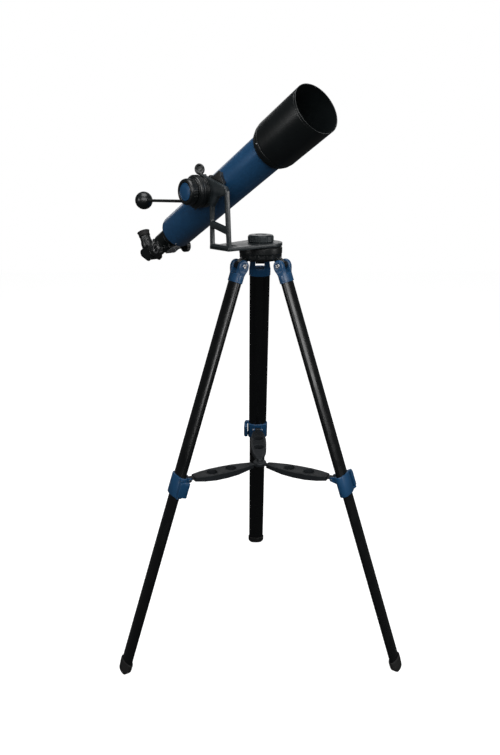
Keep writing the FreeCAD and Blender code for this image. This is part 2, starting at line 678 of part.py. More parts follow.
def handle():
    """Rod and ball on the hub's boss, both along one line that tips down a little."""
    tilt = turn(Y_AXIS, -dim("handle_tilt"))
    line = placed(0, dim("handle_side"), dim("handle_drop"), tilt)
    frame = altitude_frame().multiply(line)
    length = "handle_reach - rod_start - ball_radius + rod_grip - 0.2"
    rod = cylinder("rod_bar", "rod_radius", length, along(-X_AXIS, -dim("rod_start"), 0, 0))
    collar = cylinder("rod_collar", "rod_radius + 1.6", 8, along(-X_AXIS, -dim("rod_start"), 0, 0))
    joined("handle_rod", [rod, collar], frame)
    ball = new_body("handle_ball", frame.multiply(placed(-dim("handle_reach"), 0, 0)))
    facets = 16
    arc = [math.pi * step / facets for step in range(facets + 1)]
    revolve(ball, "XZ_Plane", [
        (f"ball_radius * {math.cos(a):.6f}", f"ball_radius * {math.sin(a):.6f}") for a in arc])
    socket = new_sketch(ball, "YZ_Plane", "ball_radius + 1")
    circle(socket, 0, 0, "rod_radius + 0.03")
    pocket(ball, socket, "rod_grip + 1")


def saddle():
    """Dovetail channel on the axle's inner end, with the clamp screw's block."""
    body = new_body("saddle", tube_frame())
    section = new_sketch(body, "YZ_Plane", -38)
    outline(section, [
        (-61.3, -26), (-50.2, -26), (-50.2, -16.9), (-57.1, -20.7), (-57.1, 20.7), (-50.2, 16.9),
        (-50.2, 26), (-61.3, 26)])
    pad(body, section, 76)
    block = new_sketch(body, "YZ_Plane", -13)
    outline(block, [(-61.3, 22), (-50.2, 22), (-48.5, 42), (-61.3, 42)])
    pad(body, block, 26)
    hole = new_sketch(body, "XY_Plane", 43)
    circle(hole, 0, -54.7, 3.3)
    pocket(body, hole, 22.5)


def saddle_thumbscrew():
    shank = cylinder("saddle_shank", 3, 28, along(Z_AXIS, 0, -54.7, 21.5))
    collar = cylinder("saddle_collar", 5.2, 6, along(Z_AXIS, 0, -54.7, 42.4))
    paddle = doc.addObject("Part::Ellipsoid", "saddle_paddle")
    paddle.Radius1 = 15.5
    paddle.Radius2 = 13.4
    paddle.Radius3 = 4.6
    paddle.Placement = placed(0, -54.7, 62, turn(Z_AXIS, 45.0))
    joined("saddle_thumbscrew", [shank, collar, paddle], tube_frame())


# ---------------------------------------------------------------- optical tube

def dovetail_bar():
    body = new_body("dovetail_bar", tube_frame())
    section = new_sketch(body, "YZ_Plane", -70)
    outline(section, [
        (-56.7, -20.1), (-50.2, -16.3), (-50.2, -15.5), (-40, -15.5), (-40, 15.5), (-50.2, 15.5),
        (-50.2, 16.3), (-56.7, 20.1)])
    pad(body, section, 142)
    seat = new_sketch(body, "YZ_Plane")
    circle(seat, 0, 0, "tube_radius")
    pocket(body, seat)


def main_tube():
    body = new_body("main_tube", tube_frame())
    revolve(body, "XZ_Plane", [
        ("tube_rear", "tube_bore"), ("tube_rear", "tube_radius"),
        ("tube_front", "tube_radius"), ("tube_front", "tube_bore")])


def dew_shield():
    body = new_body("dew_shield", tube_frame())
    revolve(body, "XZ_Plane", [
        ("tube_front + 9", 55.2), ("tube_front + 9", 57.5), ("tube_front + 14", "shade_radius"),
        ("shade_front", "shade_radius"), ("shade_front", "shade_bore"),
        ("tube_front + 15", "shade_bore"), ("tube_front + 15", 55.2)])


def lens_cell():
    body = new_body("lens_cell", tube_frame())
    revolve(body, "XZ_Plane", [
        ("tube_front - 15", "tube_bore"), ("tube_front", "tube_bore"), ("tube_front", 52.5),
        ("tube_front + 4", 55), ("tube_front + 15", 55), ("tube_front + 15", "shade_bore"),
        ("cell_front", "shade_bore"), ("cell_front", "lens_radius"),
        ("tube_front + 11", "lens_radius"), ("tube_front + 11", 43.5), ("tube_front - 15", 43.5)])


def lens_stack():
    """Crown and flint elements: discs bounded by spheres, with an air gap between."""
    crown_disc = cylinder("crown_disc", "lens_radius", 14, along(X_AXIS, 227, 0, 0))
    front_ball = doc.addObject("Part::Sphere", "crown_front")
    front_ball.Radius = 300.0
    front_ball.Placement = placed(240.0 - 300.0, 0, 0)
    rear_ball = doc.addObject("Part::Sphere", "crown_rear")
    rear_ball.Radius = 260.0
    rear_ball.Placement = placed(228.9 + 260.0, 0, 0)
    crown = doc.addObject("Part::MultiCommon", "crown_lens")
    crown.Shapes = [crown_disc, front_ball, rear_ball]
    crown.Label = "crown_lens"
    crown.Placement = tube_frame()
    nodes.append(crown)
    flint_disc = cylinder("flint_disc", "lens_radius", 10.4, along(X_AXIS, 222, 0, 0))
    hollow_ball = doc.addObject("Part::Sphere", "flint_front")
    hollow_ball.Radius = 265.0
    hollow_ball.Placement = placed(228.2 + 265.0, 0, 0)
    flint = doc.addObject("Part::Cut", "flint_lens")
    flint.Base = flint_disc
    flint.Tool = hollow_ball
    flint.Label = "flint_lens"
    flint.Placement = tube_frame()
    nodes.append(flint)


def retaining_ring():
    body = new_body("retaining_ring", tube_frame())
    revolve(body, "XZ_Plane", [
        (240.2, 43.6), (240.2, "lens_radius"), (244.5, "lens_radius"), (244.5, 43.6)])


def tube_baffles():
    rings = []
    for name, station, aperture in (("front", 60.0, 37.0), ("rear", -90.0, 29.0)):
        disc = cylinder(f"baffle_disc_{name}", "tube_bore", 1.5, along(X_AXIS, station, 0, 0))
        eye = cylinder(f"baffle_eye_{name}", aperture, 6, along(X_AXIS, station - 2.0, 0, 0))
        ring = doc.addObject("Part::Cut", "baffle_" + name)
        ring.Base = disc
        ring.Tool = eye
        rings.append(ring)
    joined("tube_baffles", rings, tube_frame(), "Part::Compound")


def focuser_body():
    body = new_body("focuser_body", tube_frame())
    revolve(body, "XZ_Plane", [
        ("tube_rear + 14", "tube_bore"), ("tube_rear", "tube_bore"), ("tube_rear", "tube_radius - 0.4"),
        ("tube_rear - 4", "tube_radius - 1"), ("tube_rear - 7", 38),
        ("tube_rear - 13", "focuser_radius + 1"), ("focuser_rear + 5", "focuser_radius"),
        ("focuser_rear", "focuser_radius - 2.5"), ("focuser_rear", "draw_radius + 0.3"),
        ("tube_rear - 4", "draw_radius + 0.3"), ("tube_rear + 6", 43), ("tube_rear + 14", 43)])
    box = new_sketch(body, "XZ_Plane")
    outline(box, [
        ("pinion_s - 18", -24), ("pinion_s + 21", -24), ("pinion_s + 17", "pinion_p - 9"),
        ("pinion_s - 16", "pinion_p - 9")])
    pad(body, box, 44, middle=True)
    bore = new_sketch(body, "YZ_Plane")
    circle(bore, 0, 0, "draw_radius + 0.3")
    pocket(body, bore, 130)
    channel = new_sketch(body, "YZ_Plane", -200)
    outline(channel, [(-4, -24.2), (4, -24.2), (4, -17), (-4, -17)])
    pocket(body, channel, 200)
    chamber = new_sketch(body, "XZ_Plane")
    circle(chamber, "pinion_s", "pinion_p", 7)
    pocket(body, chamber, 8, middle=True)
    shaft_hole = new_sketch(body, "XZ_Plane")
    circle(shaft_hole, "pinion_s", "pinion_p", 2.55)
    pocket(body, shaft_hole)
    lock_hole = new_sketch(body, "XY_Plane", 45)
    circle(lock_hole, -275, 0, 2.35)
    pocket(body, lock_hole, 40)


def pinion_cover():
    body = new_body("pinion_cover", tube_frame())
    plate = new_sketch(body, "XY_Plane", "pinion_p - 9")
    rounded_rectangle(plate, 40, 34, 3, "pinion_s + 1.5", 0)
    pad(body, plate, 3, backwards=True)


def cover_screws():
    screws = []
    for index, offset in enumerate((-12.0, 14.0)):
        base = along(-Z_AXIS, dim("pinion_s") + offset, 0, dim("pinion_p") - 12.0)
        screws.append(cylinder(f"cover_screw_{index}", 3, 1.6, base))
    joined("cover_screws", screws, tube_frame(), "Part::Compound")


def thumb_knob(label, frame, length, start):
    """Small knurled thumbscrew along its frame's Z: shank first, then the head."""
    shank = cylinder(label + "_shank", 2, length, placed(0, 0, start))
    head = cylinder(label + "_head", 4.6, 7, placed(0, 0, start + length))
    tip = doc.addObject("Part::Cone", label + "_tip")
    tip.Radius1 = 4.6
    tip.Radius2 = 3.6
    tip.Height = 1.4
    tip.Placement = placed(0, 0, start + length + 7.0)
    joined(label, [shank, head, tip], frame)


def drawtube():
    body = new_body("drawtube", tube_frame())
    revolve(body, "XZ_Plane", [
        ("tube_rear + 20", "draw_bore"), ("tube_rear + 20", "draw_radius"), (-366, "draw_radius"),
        (-368, "collar_radius"), (-391, "collar_radius"), (-392, "collar_radius - 1"),
        (-392, "nose_bore"), (-372, "nose_bore"), (-372, "draw_bore")])
    flat = new_sketch(body, "YZ_Plane", -200)
    outline(flat, [(-3, -19.4), (3, -19.4), (3, -22), (-3, -22)])
    pocket(body, flat, 160)
    screw_hole = new_sketch(body, "XY_Plane", 30)
    circle(screw_hole, -381, 0, 2.35)
    pocket(body, screw_hole, 20)


def gear_tooth(pitch_half, root_reach):
    """Half thickness of a straight-sided tooth at its tip and at its root."""
    tip_half = pitch_half - MODULE_ADDENDUM * PRESSURE_SLOPE
    root_half = pitch_half + root_reach * PRESSURE_SLOPE
    return tip_half, root_half


def focus_rack():
    body = new_body("focus_rack", tube_frame())
    sketch = new_sketch(body, "XZ_Plane")
    pitch = 2.0 * math.pi * dim("pinion_pitch") / dim("pinion_teeth")
    line = dim("pinion_p") + dim("pinion_pitch")
    tip_half, root_half = gear_tooth(0.6, 1.0)
    first, last = -3, 18
    points = [(dim("pinion_s") + (first - 0.2) * pitch, line + 3.1),
              (dim("pinion_s") + (first - 0.2) * pitch, line + 1.0)]
    for tooth in range(first, last):
        centre = dim("pinion_s") + (tooth + 0.5) * pitch
        points += [(centre - root_half, line + 1.0), (centre - tip_half, line - MODULE_ADDENDUM),
                   (centre + tip_half, line - MODULE_ADDENDUM), (centre + root_half, line + 1.0)]
    end = dim("pinion_s") + (last + 0.2) * pitch
    points += [(end, line + 1.0), (end, line + 3.1)]
    outline(sketch, points)
    pad(body, sketch, 6, middle=True)


def pinion_shaft():
    body = new_body("pinion_shaft", tube_frame())
    gear = new_sketch(body, "XZ_Plane")
    teeth = int(dim("pinion_teeth"))
    radius = dim("pinion_pitch")
    tip_half, root_half = gear_tooth(0.58, 1.1)
    points = []
    for tooth in range(teeth):
        turned = math.pi / 2.0 - 2.0 * math.pi * tooth / teeth
        for across, reach in ((-root_half, radius - 1.1), (-tip_half, radius + MODULE_ADDENDUM),
                              (tip_half, radius + MODULE_ADDENDUM), (root_half, radius - 1.1)):
            x = reach * math.cos(turned) + across * math.sin(turned)
            z = reach * math.sin(turned) - across * math.cos(turned)
            points.append((f"pinion_s + {x:.6f}", f"pinion_p + {z:.6f}"))
    outline(gear, points)
    pad(body, gear, 6, middle=True)
    shaft = new_sketch(body, "XZ_Plane")
    circle(shaft, "pinion_s", "pinion_p", 2.5)
    pad(body, shaft, 112, middle=True)


def focus_knobs():
    knobs = []
    for side in (-1, 1):
        hub = doc.addObject("Part::Cut", f"focus_knob_{'near' if side < 0 else 'far'}")
        name = hub.Name
        rim = cylinder(name + "_rim", 18.8, 15, along(Y_AXIS * side, 0, side * 43.0, 0))
        neck = cylinder(name + "_neck", 9, 3, along(Y_AXIS * side, 0, side * 40.5, 0))
        outer = doc.addObject("Part::MultiFuse", name + "_solid")
        outer.Shapes = [rim, neck]
        hole = cylinder(name + "_bore", 2.5, 17, along(Y_AXIS * side, 0, side * 39.0, 0))
        hub.Base = outer
        hub.Tool = hole
        knobs.append(hub)
    frame = tube_frame().multiply(placed(dim("pinion_s"), 0, dim("pinion_p")))
    joined("focus_knobs", knobs, frame, "Part::Compound")


def diagonal_housing():
    body = new_body("diagonal_housing", tube_frame())
    side = new_sketch(body, "XZ_Plane")
    outline(side, [
        (-396, -17), (-396, 20), (-441, 20), (-444.5, 16), (-444.5, 8), (-420, -18), (-413, -22),
        (-401, -22)])
    pad(body, side, 39, middle=True)
    holder = new_sketch(body, "XY_Plane", 18)
    circle(holder, "eyepiece_s", 0, 19)
    pad(body, holder, 24)
    nose = new_sketch(body, "YZ_Plane", -398)
    circle(nose, 0, 0, "nose_radius")
    pad(body, nose, 24)
    cavity = new_sketch(body, "XZ_Plane")
    outline(cavity, [(-400, -15), (-400, 15), (-440, 15), (-440, 11.5), (-413.5, -15)])
    pocket(body, cavity, 30, middle=True)
    nose_bore = new_sketch(body, "YZ_Plane", -370)
    circle(nose_bore, 0, 0, 14)
    pocket(body, nose_bore, 35)
    holder_bore = new_sketch(body, "XY_Plane", 43)
    circle(holder_bore, "eyepiece_s", 0, "nose_bore")
    pocket(body, holder_bore, 31)
    screw_hole = new_sketch(body, "YZ_Plane", -436)
    circle(screw_hole, 0, 33, 2.35)
    pocket(body, screw_hole, 10)


def diagonal_mirror():
    plate = doc.addObject("Part::Box", "mirror_plate")
    plate.Length = 3.0
    plate.Width = 28.0
    plate.Height = 34.0
    plate.Placement = placed(-3.0, -14.0, -17.0)
    tilt = placed(dim("eyepiece_s"), 0, 0, turn(Y_AXIS, -45.0))
    joined("diagonal_mirror", [plate], tube_frame().multiply(tilt), "Part::Compound")


def eyepiece():
    frame = tube_frame().multiply(placed(dim("eyepiece_s"), 0, 0))
    body = new_body("eyepiece_body", frame)
    revolve(body, "XZ_Plane", [
        (13.5, 16), ("nose_radius", 16), ("nose_radius", 42.4), (17.6, 42.4), (17.6, 45), (16.6, 46),
        (16.6, 60), (15.2, 62), (15.2, 70), (10.5, 70), (10.5, 60), (13.5, 58)], "V_Axis")
    cup = new_body("eyecup", frame)
    revolve(cup, "XZ_Plane", [
        (15.2, 62.4), (18.2, 62.4), (17.6, 68), (18.6, 73.5), (20.2, 77), (18, 77), (16.2, 72.5),
        (15.2, 70)], "V_Axis")
    lens = new_body("eye_lens", frame)
    revolve(lens, "XZ_Plane", [(0, 65), (10.5, 65), (10.5, 68), (6, 69), (0, 69.4)], "V_Axis")


def build():
    tripod_head()
    azimuth_bolt()
    hinge_bolts()
    for side, angle in LEGS.items():
        leg_cap(side, angle)
        upper_leg(side, angle)
        leg_clamp(side, angle)
        clamp_lever(side, angle)
        lower_leg(side, angle)
        foot(side, angle)
        spreader_arm(side, angle)
    spreader_hub()
    spreader_pins()
    azimuth_bracket()
    azimuth_knob()
    altitude_housing()
    altitude_hub()
    altitude_axle()
    altitude_knob()
    altitude_knob_cap()
    handle()
    saddle()
    saddle_thumbscrew()
    dovetail_bar()
    main_tube()
    dew_shield()
    lens_cell()
    lens_stack()
    retaining_ring()
    tube_baffles()
    focuser_body()
    pinion_cover()
    cover_screws()
    drawtube()
    focus_rack()
    pinion_shaft()
    focus_knobs()
    lock_frame = tube_frame().multiply(placed(-275, 0, 0))
    thumb_knob("focus_lock_screw", lock_frame, 11.5, 20.7)
    collar_frame = tube_frame().multiply(placed(-381, 0, 0))
    thumb_knob("drawtube_screw", collar_frame, 8.5, 16.4)
    holder = placed(dim("eyepiece_s"), 0, 33, FreeCAD.Rotation(Z_AXIS, FreeCAD.Vector(-1, 0, 0)))
    thumb_knob("eyepiece_screw", tube_frame().multiply(holder), 4.5, 16.3)
    diagonal_housing()
    diagonal_mirror()
    eyepiece()


def check_and_export():
    doc.recompute()
    for item in doc.Objects:
        if "Invalid" in item.State or "Error" in item.State:
            raise RuntimeError(f"{item.Name} failed: {item.State} {item.getStatusString()}")
    os.makedirs("parts", exist_ok=True)
    low = [1e9, 1e9, 1e9]
    high = [-1e9, -1e9, -1e9]
    for node in nodes:
        shape = node.Shape
        if shape.isNull() or not shape.isValid() or not shape.Solids:
            raise RuntimeError(f"{node.Label} has no valid solid")
        box = shape.BoundBox
        low = [min(a, b) for a, b in zip(low, (box.XMin, box.YMin, box.ZMin))]
        high = [max(a, b) for a, b in zip(high, (box.XMax, box.YMax, box.ZMax))]
        print(f"{node.Label}: {len(shape.Solids)} solid(s), {shape.Volume:.0f} mm3")
        shape.exportStep(os.path.join("parts", node.Label + ".step"))
    print(len(nodes), "nodes; box", [round(v, 2) for v in low], [round(v, 2) for v in high])


build()
check_and_export()
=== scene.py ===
import json
import math

import bmesh
import bpy
from mathutils import Matrix, Vector
from mathutils.geometry import tessellate_polygon


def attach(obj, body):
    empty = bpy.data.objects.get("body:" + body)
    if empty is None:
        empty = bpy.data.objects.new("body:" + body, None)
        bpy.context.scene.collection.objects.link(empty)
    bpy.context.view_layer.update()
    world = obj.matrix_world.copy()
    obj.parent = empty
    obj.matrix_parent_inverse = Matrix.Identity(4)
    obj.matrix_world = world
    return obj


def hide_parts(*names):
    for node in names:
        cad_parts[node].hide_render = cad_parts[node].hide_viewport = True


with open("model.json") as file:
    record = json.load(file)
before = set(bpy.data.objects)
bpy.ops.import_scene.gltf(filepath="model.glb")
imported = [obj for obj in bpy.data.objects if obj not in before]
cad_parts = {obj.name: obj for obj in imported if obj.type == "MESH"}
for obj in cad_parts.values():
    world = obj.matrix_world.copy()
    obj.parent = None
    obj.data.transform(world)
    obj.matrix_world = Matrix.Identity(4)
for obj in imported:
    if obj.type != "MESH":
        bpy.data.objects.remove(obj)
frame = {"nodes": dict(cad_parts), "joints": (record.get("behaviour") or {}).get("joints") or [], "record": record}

MM = 0.001
TAU = 2.0 * math.pi
UP = Vector((0, 0, 1))
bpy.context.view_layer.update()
JOINTS = {joint["name"]: joint for joint in frame["joints"]}
SIDES = ("back", "left", "right")

# Millimetres, as the CAD has them.
LEG_JOINT = 640.0
LEVER_OUT, LEVER_ACROSS = 11.0, 39.6
HINGE_RADIUS, HINGE_HEIGHT = 66.48, 1162.27
ARM_RUN, ARM_RISE, ARM_REACH = 225.0, 9.0, 225.18
HANDLE_SIDE, HANDLE_DROP, HANDLE_TILT = -90.4, -24.5, 2.0
PINION_S, PINION_P = -303.0, -28.0
HUB_FORWARD, HUB_HEIGHT, HUB_RADIUS = -61.0, 1355.5, 41.0
PLATE_BASE, PLATE_END_RADIUS = 1211.0, 59
LEG_END = -1228.8
LEG_LEAN_DEGREES = 18.94
UPPER_TUBE, UPPER_BORE = (58.6, 24.0, 6.7), (55.6, 21.0, 5.2)
LOWER_TUBE, LOWER_BORE = (53.4, 19.6, 5.2), (50.4, 16.6, 3.7)
HOLE_CENTRES = (-140.0, -77.0)
EYEPIECE_S = -423.0
ROOM_LIGHT = 0.045
FLOOR_HALF = 7.0
LENS, SENSOR = 32.0533, 36.0
EYE_ASIDE, EYE_BACK, EYE_HEIGHT = -0.0543, -1.8573, 1.4370
EYE_TILT, EYE_TURN = 18.066, -0.770
FLOOR_GLOW = 0.965


# ---------------- frames of the real object

def basis(origin, x, y, z):
    """Local frame whose axes are x, y and z, placed at origin."""
    return Matrix.Translation(origin) @ Matrix((x, y, z)).transposed().to_4x4()


def joint_axis(name):
    return Vector(JOINTS[name]["axis"]).normalized()


def joint_place(name):
    return Vector(JOINTS[name]["pos_m"])


def tube_basis():
    """X along the tube to the sky, Y along the altitude axis, inwards, Z the tube's up."""
    forward = joint_axis("dovetail_slide")
    across = -joint_axis("altitude")
    return basis(joint_place("altitude"), forward, across, forward.cross(across))


def altitude_basis():
    """As the tube's, but level."""
    across = -joint_axis("altitude")
    return basis(joint_place("altitude"), across.cross(UP), across, UP)


def mount_basis():
    """On the azimuth axis at floor level, turned as the mount is."""
    level = altitude_basis()
    axis = joint_place("azimuth")
    level.translation = Vector((axis.x, axis.y, 0))
    return level


def tripod_basis(side="back"):
    """On the azimuth axis at floor level, with X towards one leg."""
    across = joint_axis(f"spreader_arm_{side}_pivot")
    axis = joint_place("azimuth")
    return basis(Vector((axis.x, axis.y, 0)), across.cross(UP), across, UP)


def leg_basis(side):
    """At a leg's hinge: Z up along the leg, X outwards, Y along the hinge."""
    up = -joint_axis(f"leg_{side}_extension")
    across = joint_axis(f"spreader_arm_{side}_pivot")
    outward = across.cross(up)
    lever = joint_place(f"clamp_lever_{side}_flip")
    origin = lever - (outward * LEVER_OUT + across * LEVER_ACROSS - up * LEG_JOINT) * MM
    return basis(origin, outward, across, up)


def arm_basis(side):
    """At a spreader arm's outer pin: X outwards along the arm."""
    across = joint_axis(f"spreader_arm_{side}_pivot")
    outward = (across.cross(UP) * ARM_RUN + UP * ARM_RISE).normalized()
    return basis(joint_place(f"spreader_arm_{side}_pivot"), outward, across, outward.cross(across))


TUBE = tube_basis()
ALTITUDE = altitude_basis()
MOUNT = mount_basis()
TRIPOD = {side: tripod_basis(side) for side in SIDES}
LEG = {side: leg_basis(side) for side in SIDES}
ARM = {side: arm_basis(side) for side in SIDES}


# ---------------- shape helpers (millimetres, local)

ALONG_Z = Matrix.Identity(4)
ALONG_X = Matrix(((0, 0, 1, 0), (1, 0, 0, 0), (0, 1, 0, 0), (0, 0, 0, 1)))
ALONG_Y = Matrix(((0, 1, 0, 0), (0, 0, 1, 0), (1, 0, 0, 0), (0, 0, 0, 1)))
ALONG_MINUS_Z = Matrix(((1, 0, 0, 0), (0, -1, 0, 0), (0, 0, -1, 0), (0, 0, 0, 1)))
ALONG_MINUS_Y = ALONG_Y @ ALONG_MINUS_Z
ALONG_MINUS_X = ALONG_X @ ALONG_MINUS_Z
UPRIGHT = Matrix(((1, 0, 0, 0), (0, 0, -1, 0), (0, 1, 0, 0), (0, 0, 0, 1)))


def at(x, y, z, turn=ALONG_Z):
    return Matrix.Translation((x, y, z)) @ turn


def spun(angle_degrees, axis="Z"):
    return Matrix.Rotation(math.radians(angle_degrees), 4, axis)


def soften(points, radius=0.6, closed=True, steps=3):
    """Outline with its corners rounded; a third value on a point is that corner's own radius."""
    count = len(points)
    result = []
    for index, point in enumerate(points):
        corner = Vector(point[:2])
        wanted = point[2] if len(point) > 2 else radius
        if wanted <= 0 or (not closed and index in (0, count - 1)):
            result.append(corner)
            continue
        before = Vector(points[index - 1][:2]) - corner
        after = Vector(points[(index + 1) % count][:2]) - corner
        half = math.tan(max(before.angle(after), 0.05) / 2)
        reach = min(wanted / half, before.length * 0.45, after.length * 0.45)
        start = corner + before.normalized() * reach
        end = corner + after.normalized() * reach
        for step in range(steps + 1):
            t = step / steps
            result.append(start * (1 - t) ** 2 + corner * (2 * t * (1 - t)) + end * t * t)
    kept = [result[0]]
    for point in result[1:]:
        if (point - kept[-1]).length > 1e-3:
            kept.append(point)
    if closed and (kept[0] - kept[-1]).length < 1e-3:
        kept.pop()
    return kept


def arc(x, y, radius, start, stop, steps):
    """Points along an arc about x, y, from one angle in degrees to another, both ends included."""
    angles = [math.radians(start + (stop - start) * step / steps) for step in range(steps + 1)]
    return [Vector((x + radius * math.cos(angle), y + radius * math.sin(angle))) for angle in angles]


def circle(radius, steps=48, x=0.0, y=0.0):
    return arc(x, y, radius, 0, 360, steps)[:-1]


def ellipse(width, height, y, steps):
    return [Vector((p.x * width, y + p.y * height)) for p in circle(1.0, steps)]


def rounded_box(width, depth, corner, steps=6):
    """Rectangle centred on the origin: width along x, depth along y."""
    x, y = width / 2, depth / 2
    return soften([(x, -y), (x, y), (-x, y), (-x, -y)], corner, steps=steps)


def oval_centres(width, depth, end):
    """How far out the narrow ends' centres are, and how far back the flat sides' centres are."""
    reach, rise = width / 2 - end, depth / 2 - end
    return reach, rise, (reach * reach - rise * rise) / (2 * rise)


def oval_section(width, depth, end, steps=9):
    """Four-arc oval: width along y, depth along x, end is the radius of the narrow ends."""
    reach, _, back = oval_centres(width, depth, end)
    flat = depth / 2 + back
    spread = math.degrees(math.atan2(reach, back))
    return (arc(-back, 0, flat, -spread, spread, steps)[:-1]
            + arc(0, reach, end, spread, 180 - spread, steps)[:-1]
            + arc(back, 0, flat, 180 - spread, 180 + spread, steps)[:-1]
            + arc(0, -reach, end, 180 + spread, 360 - spread, steps)[:-1])


def oval_reach(width, depth, end, y):
    """Half the depth of the four-arc oval at a distance along its width."""
    reach, rise, back = oval_centres(width, depth, end)
    radius = depth / 2 + back
    if y < reach + end * reach / (back + rise):
        return math.sqrt(radius * radius - y * y) - back
    return math.sqrt(max(end * end - (y - reach) ** 2, 0.0))


def signed_area(points):
    return sum(a.x * b.y - b.x * a.y for a, b in zip(points, points[1:] + points[:1])) / 2


def anticlockwise(points):
    return list(points) if signed_area(points) > 0 else list(reversed(points))


def inset(points, distance):
    """Outline moved inwards by distance, for points that run anticlockwise."""
    count = len(points)
    result = []
    for index, point in enumerate(points):
        along = (point - points[index - 1]).normalized()
        onward = (points[(index + 1) % count] - point).normalized()
        normal = Vector((-along.y - onward.y, along.x + onward.x))
        result.append(point + normal * (2 * distance / max(normal.length_squared, 0.4)))
    return result


def bridge(mesh, first, second):
    """Faces between two rings of vertices, or between a ring and a single vertex."""
    if len(first) == 1 and len(second) == 1:
        return
    count = max(len(first), len(second))
    for index in range(count):
        following = (index + 1) % count
        if len(first) == 1:
            mesh.faces.new((first[0], second[index], second[following]))
        elif len(second) == 1:
            mesh.faces.new((first[index], second[0], first[following]))
        else:
            mesh.faces.new((first[index], second[index], second[following], first[following]))


def turned(mesh, profile, matrix=ALONG_Z, segments=96, shape=None, closed=True):
    """Turned solid about the local Z: the profile's points are (along, radius).

    A closed profile is a ring; an open one starts and ends on the axis."""
    rings = []
    for along, radius in profile:
        if radius < 1e-4:
            rings.append([mesh.verts.new(matrix @ Vector((0, 0, along)))])
            continue
        ring = []
        for step in range(segments):
            angle = TAU * step / segments
            reach = shape(along, radius, angle) if shape else radius
            place = Vector((reach * math.cos(angle), reach * math.sin(angle), along))
            ring.append(mesh.verts.new(matrix @ place))
        rings.append(ring)
    for first, second in zip(rings, rings[1:]):
        bridge(mesh, first, second)
    if closed:
        bridge(mesh, rings[-1], rings[0])


def lathe(mesh, points, corner, matrix, segments, shape=None):
    """Turned solid whose softened profile starts and ends on the axis."""
    turned(mesh, soften(points, corner, closed=False), matrix, segments, shape, closed=False)


def hoop(mesh, points, corner, matrix, segments, shape=None):
    """Turned ring whose softened profile stays off the axis."""
    turned(mesh, soften(points, corner), matrix, segments, shape)


def sideways(side):
    """Turn that points a shape's Z outwards on one side."""
    return ALONG_Y if side > 0 else ALONG_MINUS_Y


def slab(mesh, outer, low, high, edge=0.6, holes=(), matrix=ALONG_Z, steps=3):
    """Plate between two levels with rounded edges; holes are outlines too, anticlockwise."""
    levels = []
    for step in range(steps + 1):
        angle = math.pi / 2 * step / steps
        levels.append((edge * (1 - math.sin(angle)), low + edge * (1 - math.cos(angle))))
    levels += [(shrink, low + high - level) for shrink, level in reversed(levels)]
    loops = [(list(outer), 1)] + [(list(hole), -1) for hole in holes]
    stacks = []
    for points, way in loops:
        stack = []
        for shrink, level in levels:
            ring = inset(points, shrink * way)
            stack.append([mesh.verts.new(matrix @ Vector((p.x, p.y, level))) for p in ring])
        for first, second in zip(stack, stack[1:]):
            bridge(mesh, first, second)
        stacks.append((stack, [inset(points, edge * way)]))
    flat = [[Vector((p.x, p.y, 0)) for p in rims[0]] for _, rims in stacks]
    triangles = tessellate_polygon(flat)
    for end in (0, -1):
        corners = [vertex for stack, _ in stacks for vertex in stack[end]]
        for triangle in triangles:
            mesh.faces.new([corners[index] for index in triangle])


def screw(mesh, radius, height, matrix, slot=0.22):
    """Pan head with a cross recess."""
    arm, half = radius * 0.62, radius * slot * 0.5
    cross = [(arm, -half), (arm, half), (half, half), (half, arm), (-half, arm), (-half, half),
             (-arm, half), (-arm, -half), (-half, -half), (-half, -arm), (half, -arm), (half, -half)]
    slab(mesh, circle(radius, 32), 0, height, height * 0.45, [soften(cross, 0)], matrix)
    turned(mesh, [(0.0, 0.0), (0.0, radius * 0.8), (height * 0.35, radius * 0.8), (height * 0.35, 0.0)],
           matrix, 32, closed=False)


def make_piece(name, build, place, body, slot, replaces=(), smooth=38.0):
    """Builds one piece in its local frame, with its body, finish and the CAD nodes it replaces."""
    shell = bmesh.new()
    build(shell)
    bmesh.ops.remove_doubles(shell, verts=shell.verts, dist=1e-4)
    bmesh.ops.recalc_face_normals(shell, faces=shell.faces)
    bmesh.ops.scale(shell, vec=(MM, MM, MM), verts=shell.verts)
    mesh = bpy.data.meshes.new(name)
    shell.to_mesh(mesh)
    shell.free()
    mesh.shade_smooth()
    mesh.set_sharp_from_angle(angle=math.radians(smooth))
    piece = bpy.data.objects.new(name, mesh)
    bpy.context.scene.collection.objects.link(piece)
    piece.matrix_world = place
    mesh.materials.append(MATERIALS[slot])
    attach(piece, body)
    if replaces:
        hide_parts(*replaces)
    return piece


# ---------------- material helpers

def new_material(name):
    material = bpy.data.materials.new(name)
    material.use_nodes = True
    tree = material.node_tree
    shader = tree.nodes["Principled BSDF"]
    return material, tree, shader


def link(tree, source, target):
    tree.links.new(source, target)


def set_sockets(node, values):
    for socket, value in values.items():
        node.inputs[socket].default_value = value


def object_coordinates(tree, stretch=None):
    """Object coordinates, in metres, scaled unevenly where a grain runs one way."""
    source = tree.nodes.new("ShaderNodeTexCoord")
    if stretch is None:
        return source.outputs["Object"]
    mapping = tree.nodes.new("ShaderNodeMapping")
    mapping.inputs["Scale"].default_value = stretch
    link(tree, source.outputs["Object"], mapping.inputs["Vector"])
    return mapping.outputs["Vector"]


def noise(tree, vector, scale, detail=4.0, rough=0.55):
    node = tree.nodes.new("ShaderNodeTexNoise")
    set_sockets(node, {"Scale": scale, "Detail": detail, "Roughness": rough})
    link(tree, vector, node.inputs["Vector"])
    return node.outputs["Fac"]


def cells(tree, vector, scale, output="Distance"):
    node = tree.nodes.new("ShaderNodeTexVoronoi")
    node.inputs["Scale"].default_value = scale
    link(tree, vector, node.inputs["Vector"])
    return node.outputs[output]


